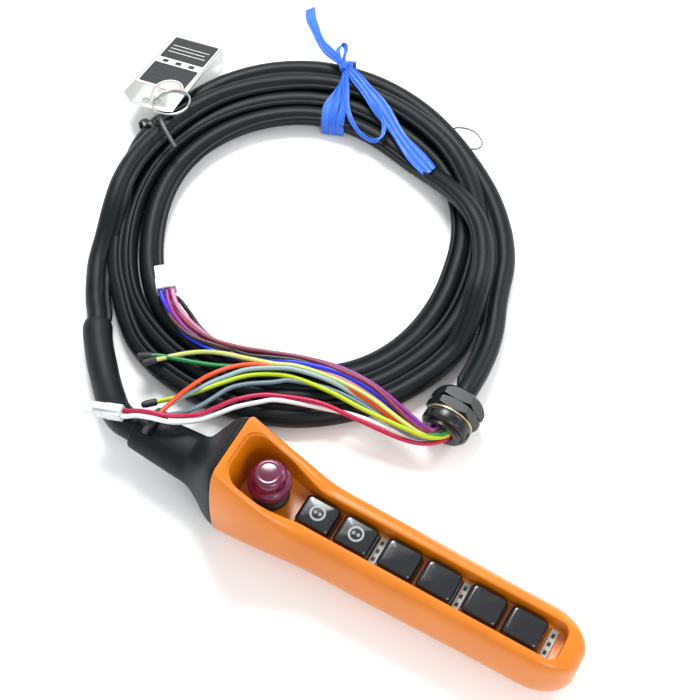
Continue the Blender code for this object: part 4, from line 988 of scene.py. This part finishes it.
def make_tag_tie(materials):
    """Nylon cable tie through the split ring and round the outermost turn."""
    angle = TIE_ANGLE
    middle = on_coil(angle, lanes(angle)[0][0], STRAND_Z)
    radial = outward_at(angle)
    along = Vector((-radial.y, radial.x, 0.0))
    reach = RIB_TOP + 0.0006
    arc = []
    for k in range(33):
        turn = math.radians(-62.0 + 304.0 * k / 32)
        lift = max(-0.0080, math.sin(turn) * reach)
        arc.append(middle + radial * (math.cos(turn) * reach) + UP * lift)
    loop = sweep("tie_loop", arc, lambda d: strap_section(0.0036, 0.0011), materials["tie"],
                 ref=along)
    settle(loop, "tie_black", "tag_tie")
    strap = smooth_route([(-291.2, 221.5, 29), (-288, 218, 32.5), (-284.5, 214.5, 33.5),
                          (-279, 210.5, 33.2), (-271.5, 206, 31.8),
                          (-263.5, 201.5, 30)], 0.0015, MM)
    tail = sweep("tie_tail", strap, lambda d: strap_section(0.0034, 0.0011), materials["tie"],
                 ref=UP.cross(Vector((0.024, -0.013, 0.0))).normalized())
    head_place = axis_place((-0.2895, 0.2175, 0.0250), (-0.55, 0.20, -0.80))
    head = loft("tie_head", [raised(rounded_rectangle(0.0030 * s, 0.0024 * s, 0.0006, 3), z,
                                    head_place)
                             for z, s in ((-0.0030, 0.9), (-0.0026, 1.0), (0.0026, 1.0),
                                          (0.0030, 0.9))], materials["tie"])
    for piece in (tail, head):
        settle(piece, "tie_black")
    return [loop, tail, head]


def film_section(width, distance, seed):
    """Crumpled flat film: wide along lift, thin and wavy along side."""
    count = 12
    wave = [0.00045 * math.sin(1.7 * k + 46.0 * distance + seed) for k in range(count)]
    wide = width * (1.0 + 0.16 * math.sin(120.0 * distance + seed))
    front = [(wave[k] + 0.00022, wide * (k / (count - 1) - 0.5)) for k in range(count)]
    back = [(a - 0.00044, b) for a, b in reversed(front)]
    return front + back


def make_twine(materials):
    """Split-film twine wound round the coil and tied in a single bow."""
    angle = TWINE_ANGLE
    outward = outward_at(angle)
    sideways = Vector((-outward.y, outward.x, 0.0))
    hub = Vector((*COIL_CENTRE, 0.0))
    inner, outer = coil_limits(angle)
    inside = inner - 0.0006
    outside = outer + 0.0012
    top = 0.0215
    parts = []
    wrap = [(outside, 0.0012), (outside + 0.0004, 0.0070), (outside - 0.0006, 0.0140),
            (outside - 0.0046, 0.0190), (0.1480, top + 0.0006), (0.1390, top), (0.1300, top),
            (inside + 0.0120, top - 0.0006), (inside + 0.0036, 0.0182), (inside - 0.0004, 0.0135),
            (inside - 0.0008, 0.0070), (inside, 0.0012)]
    for k, (foot, width) in enumerate(((0.0062, 0.0062), (0.0004, 0.0056), (-0.0052, 0.0056))):
        route = []
        for r, z in wrap:
            spread = smoothstep((0.1400 - r) / 0.026) + 0.5 * smoothstep((r - 0.1560) / 0.008)
            drift = foot * blend(0.16, 1.0, spread)
            route.append(hub + outward * r + sideways * drift + UP * (z + 0.0005 * k))
        path = smooth_route(route, FINE_STEP)
        total = route_length(path)

        def fold(d, k=k, width=width, total=total):
            flare = smoothstep((d / total - 0.52) / 0.22)
            return film_section(width * blend(0.62, 1.0, flare), d, 2.1 * k)

        parts.append(sweep("wrap", path, fold, None, ref=sideways))
    wraps = joined("twine_wrap", parts, materials["twine"], "twine_blue")
    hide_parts("coil_tie")
    pieces = [wraps]

    tied = (-196.8, 333, 22.8)
    knot = Vector(tied) * MM
    ribbons = (
        ("twine_tail_far", [tied, (-204.5, 336.2, 24), (-214.8, 340.5, 23.2),
                            (-222.5, 344.5, 22.2), (-229.5, 350, 21.2), (-237, 357, 20.2),
                            (-244.5, 364, 19.4), (-251, 373.5, 18.8)],
         0.0076, Vector((0.45, 0.75, 0.35)), 0.4, (0.45, 1.0)),
        ("twine_tail_near", [tied, (-191.4, 331.8, 24.5), (-181.1, 326.5, 25),
                             (-168.8, 320.3, 25), (-156.4, 313.7, 24.5), (-141.2, 305, 23.6),
                             (-125.7, 295.6, 22.6), (-113.8, 289.6, 21.8), (-93.5, 281.2, 21.2)],
         0.0108, Vector((0.35, 0.65, 0.40)), 1.9, (0.45, 1.0)),
        ("twine_loop", [tied, (-189.5, 324.5, 24), (-183, 314, 23.2), (-177.4, 303.9, 22.2),
                        (-169.3, 294.4, 21.8), (-157.6, 286.2, 22.2), (-147.4, 283.2, 22.8),
                        (-141.3, 284.8, 23.2), (-139.5, 290.9, 23.8), (-144, 300.5, 24),
                        (-152, 307.9, 23.8), (-161.2, 313.4, 23.2), (-172, 320, 23),
                        (-185, 327.5, 22.8), tied],
         0.0036, Vector((0.45, 0.65, 0.75)), 3.2, (0.8, 1.0)),
        ("twine_bow", [tied, (-200, 339.2, 26.2), (-202, 345.5, 26.8), (-205.2, 349, 26.2),
                       (-208.5, 348, 25), (-208, 342.5, 24.4), (-203, 337, 24), tied],
         0.0040, Vector((0.65, 0.35, 0.60)), 4.4, (0.8, 1.0)),
    )
    for name, route, width, ref, seed, taper in ribbons:
        path = smooth_route(route, FINE_STEP, MM)

        def ribbon(d, width=width, seed=seed, taper=taper):
            return film_section(width * blend(taper[0], taper[1], smoothstep(d / 0.022)), d, seed)

        pieces.append(settle(sweep(name, path, ribbon, materials["twine"], ref=ref.normalized()),
                             "twine_blue"))
    parts = []
    for k in range(2):
        turn = math.radians(35.0 + 80.0 * k)
        axis = Vector((math.cos(turn), math.sin(turn), 0.25)).normalized()
        first = axis.cross(UP).normalized()
        second = axis.cross(first)
        path = [knot + (first * math.cos(a) + second * math.sin(a)) * 0.0030 + UP * 0.0004
                for a in (2.0 * math.pi * i / 28 for i in range(29))]
        parts.append(sweep("knot", path, lambda d, k=k: film_section(0.0052, d, 5.0 * k), None,
                           ref=axis))
    pieces.append(joined("twine_knot", parts, materials["twine"], "twine_blue"))
    return pieces


def make_eye(materials):
    """The support wire's bare end, bent into an eye beyond the coil's outer edge."""
    route = [(-107.5, 323.5, 12), (-100.9, 329.8, 11.8), (-98.5, 333.4, 11.4), (-92.4, 336.4, 11),
             (-85, 336.8, 11), (-78.1, 333.3, 11), (-74.9, 328.7, 11), (-76, 324.4, 10.8),
             (-80.5, 321.8, 10.4), (-85, 319.5, 10)]
    wire = wire_curve("wire_eye", smooth_route(route, FINE_STEP, MM), 0.00075,
                      materials["wire_steel"])
    return [settle(wire, "ring_steel", "support_wire_eye")]


# ---- station body
def half_width(x):
    if x < WAIST_X:
        return blend(HEAD_HALF, WAIST_HALF, smoothstep((x - COLLAR_X) / (WAIST_X - COLLAR_X)))
    return blend(WAIST_HALF, NOSE_HALF, smoothstep((x - WAIST_X) / (NOSE_START_X - WAIST_X)))


def rim_height(x):
    rise = max(0.0, (SWEEP_X - x) / (SWEEP_X - COLLAR_X))
    return RIM_Z + (HOOD_Z - RIM_Z) * rise ** HOOD_POWER


def rim_half(x):
    start = ESTOP_X + 0.0082
    return blend(RIM_HALF_HEAD, RIM_HALF_WAIST, smoothstep((x - start) / 0.030))


def nose_scale(x):
    t = max(0.0, (x - NOSE_START_X) / (NOSE_VANISH_X - NOSE_START_X))
    return (1.0 - t ** 2.3) ** (1.0 / 2.3)


def top_height(x):
    return BELLY_Z + (rim_height(x) - BELLY_Z) * (0.35 + 0.65 * nose_scale(x))


def body_section(x, inset, bottom, top, low_steps=10, high_steps=16):
    """Closed YZ outline of the body at x, moved in by inset and cut flat at top."""
    scale = nose_scale(x)
    half = half_width(x) * scale - inset
    rim = max(rim_half(x) * scale - inset, 0.001)
    foot = FOOT_HALF * scale
    height = top_height(x) - (inset if inset < 0.002 else 0.0)
    base = BELLY_Z - (BELLY_Z - bottom) * (0.45 + 0.55 * scale)
    right = [(foot, base)]
    for k in range(1, low_steps + 1):
        angle = math.pi / 2.0 * k / low_steps
        right.append((foot + (half - foot) * math.sin(angle),
                      BELLY_Z - (BELLY_Z - base) * math.cos(angle)))
    last = math.pi / 2.0
    if top < height:
        last = math.asin((top - BELLY_Z) / (height - BELLY_Z))
    for k in range(1, high_steps + 1):
        angle = last * k / high_steps
        right.append((rim + (half - rim) * math.cos(angle),
                      BELLY_Z + (height - BELLY_Z) * math.sin(angle)))
    left = [(-y, z) for y, z in reversed(right)]
    return [(x, y, z) for y, z in right + left]


def stations(start, end, spacing):
    count = max(2, round((NOSE_START_X - start) / spacing))
    plain = [blend(start, NOSE_START_X, k / count) for k in range(count)]
    tip = end - NOSE_START_X
    return plain + [NOSE_START_X + tip * math.sin(math.pi / 2.0 * k / 18) for k in range(19)]


def outer_body(name, material):
    rounding = ((0.0, 0.0009), (0.00025, 0.0004), (0.0008, 0.0))
    loops = [body_section(COLLAR_X + shift, inset, inset, 1.0) for shift, inset in rounding]
    loops += [body_section(x, 0.0, 0.0, 1.0) for x in stations(COLLAR_X + 0.003, NOSE_X, 0.003)]
    return loft(name, loops, material)


def cavity():
    loops = [body_section(x, WALL, WALL, CEILING_Z)
             for x in stations(CAVITY_START_X, CAVITY_END_X, 0.010)]
    return loft("cavity", loops)


def well_outline():
    """Plan of the well with its outward normals: a squarish pocket that narrows to the slot."""
    right = [(POCKET_BACK_X, 0.0), (POCKET_BACK_X, 0.0030), (POCKET_BACK_X, 0.0060)]
    for k in range(13):
        angle = math.pi - math.pi / 2.0 * k / 12
        right.append((POCKET_BACK_X + POCKET_CORNER * (1.0 + math.cos(angle)),
                      POCKET_HALF - POCKET_CORNER * (1.0 - math.sin(angle))))
    knee = [right[-1], (-0.0600, POCKET_HALF), (-0.0520, POCKET_HALF - 0.0002),
            (-0.0410, WELL_HALF + 0.0030), (-0.0300, WELL_HALF + 0.0006), (-0.0240, WELL_HALF),
            (-0.0180, WELL_HALF)]
    curve = smooth_route([(x, y, 0.0) for x, y in knee], 0.0015)
    right += [(p.x, p.y) for p in curve[1:]]
    start = right[-1][0]
    end = WELL_END_X - WELL_CORNER
    count = 56
    right += [(blend(start, end, k / count), WELL_HALF) for k in range(1, count + 1)]
    for k in range(1, 11):
        angle = math.pi / 2.0 * (1.0 - k / 10)
        right.append((end + WELL_CORNER * math.cos(angle),
                      WELL_HALF - WELL_CORNER + WELL_CORNER * math.sin(angle)))
    right += [(WELL_END_X, WELL_HALF - WELL_CORNER - 0.0020),
              (WELL_END_X, WELL_HALF - WELL_CORNER - 0.0045)]
    points = right + [(x, -y) for x, y in reversed(right[1:])]
    normals = []
    count = len(points)
    for i in range(count):
        before = Vector(points[i - 1])
        after = Vector(points[(i + 1) % count])
        tangent = (after - before).normalized()
        normals.append(Vector((-tangent.y, tangent.x)))
    return points, normals


def well():
    """The well's space, with a soft edge at the floor and a round lip along the rim."""
    points, normals = well_outline()

    def loop(level):
        ring = []
        for (x, y), normal in zip(points, normals):
            z, grow = level(x)
            ring.append((x + normal.x * grow, y + normal.y * grow, z))
        return ring

    def lean(z):
        return WELL_LEAN * (z - FLOOR_Z)

    loops = [loop(lambda x: (FLOOR_Z, -0.0008)), loop(lambda x: (FLOOR_Z + 0.0003, -0.0002)),
             loop(lambda x: (FLOOR_Z + 0.0010, 0.0))]
    for part in (0.35, 0.7, 1.0):
        def wall(x, part=part):
            z = blend(FLOOR_Z + 0.0010, top_height(x) - RIM_ROUND, part)
            return z, lean(z)
        loops.append(loop(wall))
    for k in range(1, 6):
        turn = LIP_TURN * k / 5

        def lip(x, turn=turn):
            z = top_height(x) - RIM_ROUND
            return (z + RIM_ROUND * math.sin(turn),
                    lean(z) + RIM_ROUND * (1.0 - math.cos(turn)))
        loops.append(loop(lip))
    final = RIM_ROUND * (1.0 - math.cos(LIP_TURN))
    loops.append(loop(lambda x: (top_height(x) + 0.0040,
                                 lean(top_height(x) - RIM_ROUND) + final)))
    loops.append(loop(lambda x: (0.1100, lean(top_height(x) - RIM_ROUND) + final)))
    return loft("well", loops)


def prism(name, outline, levels, origin=(0.0, 0.0)):
    return loft(name, [[(origin[0] + x, origin[1] + y, z) for x, y in outline] for z in levels])


def make_housing(materials):
    """Front shell with its well, and the cover that closes its back."""
    shell = outer_body("housing", materials["shell"])
    combine(shell, cavity())
    combine(shell, well())
    low = SPLIT_Z + SEAM
    combine(shell, box("below", (-0.2, -0.1, -0.05), (0.3, 0.1, low)))
    for x in BUTTON_X:
        hole = rounded_rectangle(BUTTON_LENGTH / 2 + GAP, BUTTON_WIDTH / 2 + GAP, BUTTON_CORNER)
        combine(shell, prism("window", hole, (0.0340, 0.0400), (x, 0.0)))
    combine(shell, prism("stop_hole", circle(BARREL_R + GAP, 40), (0.034, 0.040),
                         (ESTOP_X, 0.0)))
    drill(shell, axis_place((COLLAR_X - 0.002, 0.0, ENTRY_Z), (1, 0, 0)), 0.0115, 0.0, 0.008, 40)
    smooth(shell.data, 32.0)
    settle(shell, "housing_orange", "front_housing")

    cover = outer_body("back_cover", materials["shell"])
    combine(cover, cavity())
    combine(cover, box("above", (-0.2, -0.1, SPLIT_Z), (0.3, 0.1, 0.2)))
    for x, y in COVER_SCREWS:
        combine(cover, prism("recess", circle(0.0034, 32), (-0.001, 0.0062), (x, y)))
    smooth(cover.data, 32.0)
    settle(cover, "housing_orange", "rear_cover")


def boot_section(x, inset):
    """The boot's outline at x, from the housing's own at the collar to a round neck."""
    t = smoothstep((COLLAR_X - x) / (COLLAR_X - NECK_X))
    base = body_section(COLLAR_X, 0.0012, 0.0012, 1.0, 16, 16)
    along = min(1.0, max(0.0, (NECK_X - x) / (NECK_X - BOOT_END_X)))
    neck = blend(NECK_START_R, NECK_END_R, along) - inset
    points = []
    for _, y, z in base:
        shrink = 1.0 - inset / 0.03
        y, z = y * shrink, BELLY_Z + (z - BELLY_Z) * shrink
        angle = math.atan2(z - 0.5 * HOOD_Z, y)
        points.append((x, blend(y, neck * math.cos(angle), t),
                       blend(z, ENTRY_Z + neck * math.sin(angle), t)))
    return points


def make_boot(materials):
    xs = [(COLLAR_X - GAP, 0.0008), (COLLAR_X - GAP - 0.0003, 0.0002)]
    xs += [(blend(COLLAR_X - 0.0012, NECK_X, k / 26), 0.0) for k in range(27)]
    xs += [(blend(NECK_X, BOOT_END_X + 0.0014, k / 16), 0.0) for k in range(1, 17)]
    xs += [(BOOT_END_X + 0.0006, 0.0003), (BOOT_END_X + 0.0001, 0.0010), (BOOT_END_X, 0.0018)]
    boot = loft("boot", [boot_section(x, inset) for x, inset in xs], materials["boot"], 60)
    drill(boot, axis_place((BOOT_END_X - 0.001, 0.0, ENTRY_Z), (1, 0, 0)), STRAND_HALF + GAP, 0.0,
          0.079, 48)
    smooth(boot.data, 50.0)
    settle(boot, "boot_rubber", "cable_boot")


# ---- buttons and labels
def crown_height(x, y):
    """Height of a button's domed face at an offset from its centre."""
    reach = max(abs(x) / (BUTTON_LENGTH / 2), abs(y) / (BUTTON_WIDTH / 2)) / CROWN_SHARE
    return BUTTON_TOP_Z - CROWN * min(1.0, reach) ** 2


def make_buttons(materials):
    outline = rounded_rectangle(BUTTON_LENGTH / 2, BUTTON_WIDTH / 2, BUTTON_CORNER)
    flange = 1.0 + 0.0010 / (BUTTON_WIDTH / 2)
    levels = [(BUTTON_BOTTOM_Z, 1.0, flange), (0.0350, 1.0, flange), (0.0351, 1.0, 1.0),
              (FLOOR_Z + 0.0010, 1.0, 1.0)]
    levels.append((blend(FLOOR_Z + 0.0010, BUTTON_SHOULDER_Z, 0.5), 0.982, 0.982))
    levels.append((BUTTON_SHOULDER_Z, BUTTON_TAPER, BUTTON_TAPER))
    rise = BUTTON_TOP_Z - CROWN - BUTTON_SHOULDER_Z
    for k in range(1, 9):
        angle = math.pi / 2.0 * k / 8
        scale = BUTTON_TAPER - (BUTTON_TAPER - CROWN_SHARE) * (1.0 - math.cos(angle))
        levels.append((BUTTON_SHOULDER_Z + rise * math.sin(angle), scale, scale))
    for part in (0.8, 0.6, 0.4, 0.2, 0.03):
        levels.append((BUTTON_TOP_Z - CROWN * part ** 2, CROWN_SHARE * part, CROWN_SHARE * part))
    for number, x in enumerate(BUTTON_X, 1):
        bm = bmesh.new()
        add_loft(bm, [[(x + px * sx, py * sy, z) for px, py in outline] for z, sx, sy in levels])
        plunger = ((0.0, PLUNGER_BOTTOM_Z), (PLUNGER_R - 0.0004, PLUNGER_BOTTOM_Z),
                   (PLUNGER_R, PLUNGER_BOTTOM_Z + 0.0006), (PLUNGER_R, BUTTON_BOTTOM_Z + 0.0002),
                   (0.0, BUTTON_BOTTOM_Z + 0.0002))
        add_turned(bm, plunger, 24, Matrix.Translation((x, 0.0, 0.0)))
        cap = mesh_object(f"button_cap_{number}", bm, materials["button"], 40)
        settle(cap, "button_black", f"button_{number}", body=f"button_{number}")
        if number <= 2:
            emblem(f"button_mark_{number}", x, f"button_{number}", materials)


def emblem(name, centre, body, materials):
    """A ring with two dots in the first pair's faces."""
    bm = bmesh.new()
    for shift, inner, outer, steps in ((0.0, 0.0038, 0.0052, 48), (-0.0016, 0.0004, 0.0011, 20),
                                       (0.0016, 0.0004, 0.0011, 20)):
        loops = []
        for radius in (inner, (inner + outer) / 2.0, outer):
            offsets = [(px + shift, py) for px, py in circle(radius, steps)]
            loops.append([(centre + dx, dy, crown_height(dx, dy) + 0.00006) for dx, dy in offsets])
        add_loft(bm, loops, closed_ends=False)
    settle(mesh_object(name, bm, materials["emblem"], 60), "label_film", body=body)


def make_labels(materials):
    for number, x in enumerate(LABEL_X, 1):
        paint(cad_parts[f"label_strip_{number}"], materials["label"])
        top = FLOOR_Z + GAP + 0.0006
        for k, y in enumerate((-0.0058, 0.0, 0.0058)):
            mark = box(f"label_mark_{number}_{k}", (x - 0.0011, y - 0.0014, top - 0.0001),
                       (x + 0.0011, y + 0.0014, top + 0.00008), materials["label_dark"])
            settle(mark, "label_film")


def make_stop(materials):
    """Mushroom head with the bore for its stem and the pocket for its spring."""
    place = Matrix.Translation((ESTOP_X, 0.0, 0.0))
    bore = STEM_R + GAP
    profile = [(0.0, 0.0678), (bore, 0.0678), (bore, 0.0630), (0.0088, 0.0630), (0.0088, 0.0555),
               (0.0126, 0.0555), (0.0137, 0.0558), (0.0140, 0.0566), (0.0140, 0.0592),
               (0.0138, 0.0604), (0.0131, 0.0614), (0.0120, 0.0622), (0.0113, 0.0630),
               (0.0110, 0.0644), (0.0108, 0.0680), (0.0104, 0.0698), (0.0096, 0.0712),
               (0.0084, 0.0721), (0.0070, 0.0724), (0.0064, 0.0721), (0.0058, 0.0722),
               (0.0030, 0.0725), (0.0, 0.0725)]
    head = turned("stop_cap", profile, place, materials["stop"], 72, 45)
    settle(head, "stop_red", "stop_head", body="stop_head")


def make_springs(materials):
    """Return springs of the six buttons and of the stop button."""
    springs = [(f"button_spring_{k}", f"press_{k}", x, 0.0231, 0.0322, 0.0042, 0.00045, 3.5, 0.0040)
               for k, x in enumerate(BUTTON_X, 1)]
    springs.append(("stop_spring", "stop_push", ESTOP_X, 0.0456, 0.0627, 0.0066, 0.0006, 4.0,
                    0.0050))
    for node, joint, x, low, high, radius, wire, turns, stroke in springs:
        steps = round(turns * 24)
        path = []
        for k in range(steps + 1):
            angle = 2.0 * math.pi * turns * k / steps
            z = blend(low + wire, high - wire, smoothstep((k / steps - 0.02) / 0.96) * 0.15
                      + 0.85 * k / steps)
            path.append(Vector((x, 0.0, 0.0)) + Vector((*polar(radius, angle), z)))
        spring = sweep(f"{node}_wire", path, lambda d: circle(wire, 10), materials["steel"])
        settle(spring, "spring_steel", node)
        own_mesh(spring)


def paint_nodes(materials):
    """Materials for the CAD nodes that show as they are."""
    plain = {
        "matt_black": ("housing_gasket", "entry_grommet", "stop_collar"),
        "jacket": ("cable_entry",),
        "grey": ("stop_nut", "stop_stem", "contact_block_1", "contact_block_2",
                 "contact_block_3", "stop_contact_block", "cable_clamp"),
        "steel": ("contact_carrier", "clamp_screw_1", "clamp_screw_2"),
        "wire_grey": ("inner_harness",),
    }
    names = {name: key for key, group in plain.items() for name in group}
    names.update({f"housing_screw_{k}": "steel" for k in range(1, 6)})
    for name, key in names.items():
        paint(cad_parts[name], materials[key])


def main():
    make_camera()
    materials = make_materials()
    cable, sleeve, path = make_cable(materials)
    plug_a = make_plug("plug_six_way", "connector_a", PLUG_A, 3, 2, materials)
    plug_b = make_plug("plug_two_way", "connector_b", PLUG_B, 2, 1, materials)
    make_conductors(materials, plug_a, plug_b)
    gland = make_gland(materials)
    tag = make_tag(materials)
    tie = make_tag_tie(materials)
    twine = make_twine(materials)
    eye = make_eye(materials)
    make_housing(materials)
    make_boot(materials)
    make_buttons(materials)
    make_labels(materials)
    make_stop(materials)
    make_springs(materials)
    paint_nodes(materials)
    make_stage()
    print("cable length", round(route_length(path), 3))


main()
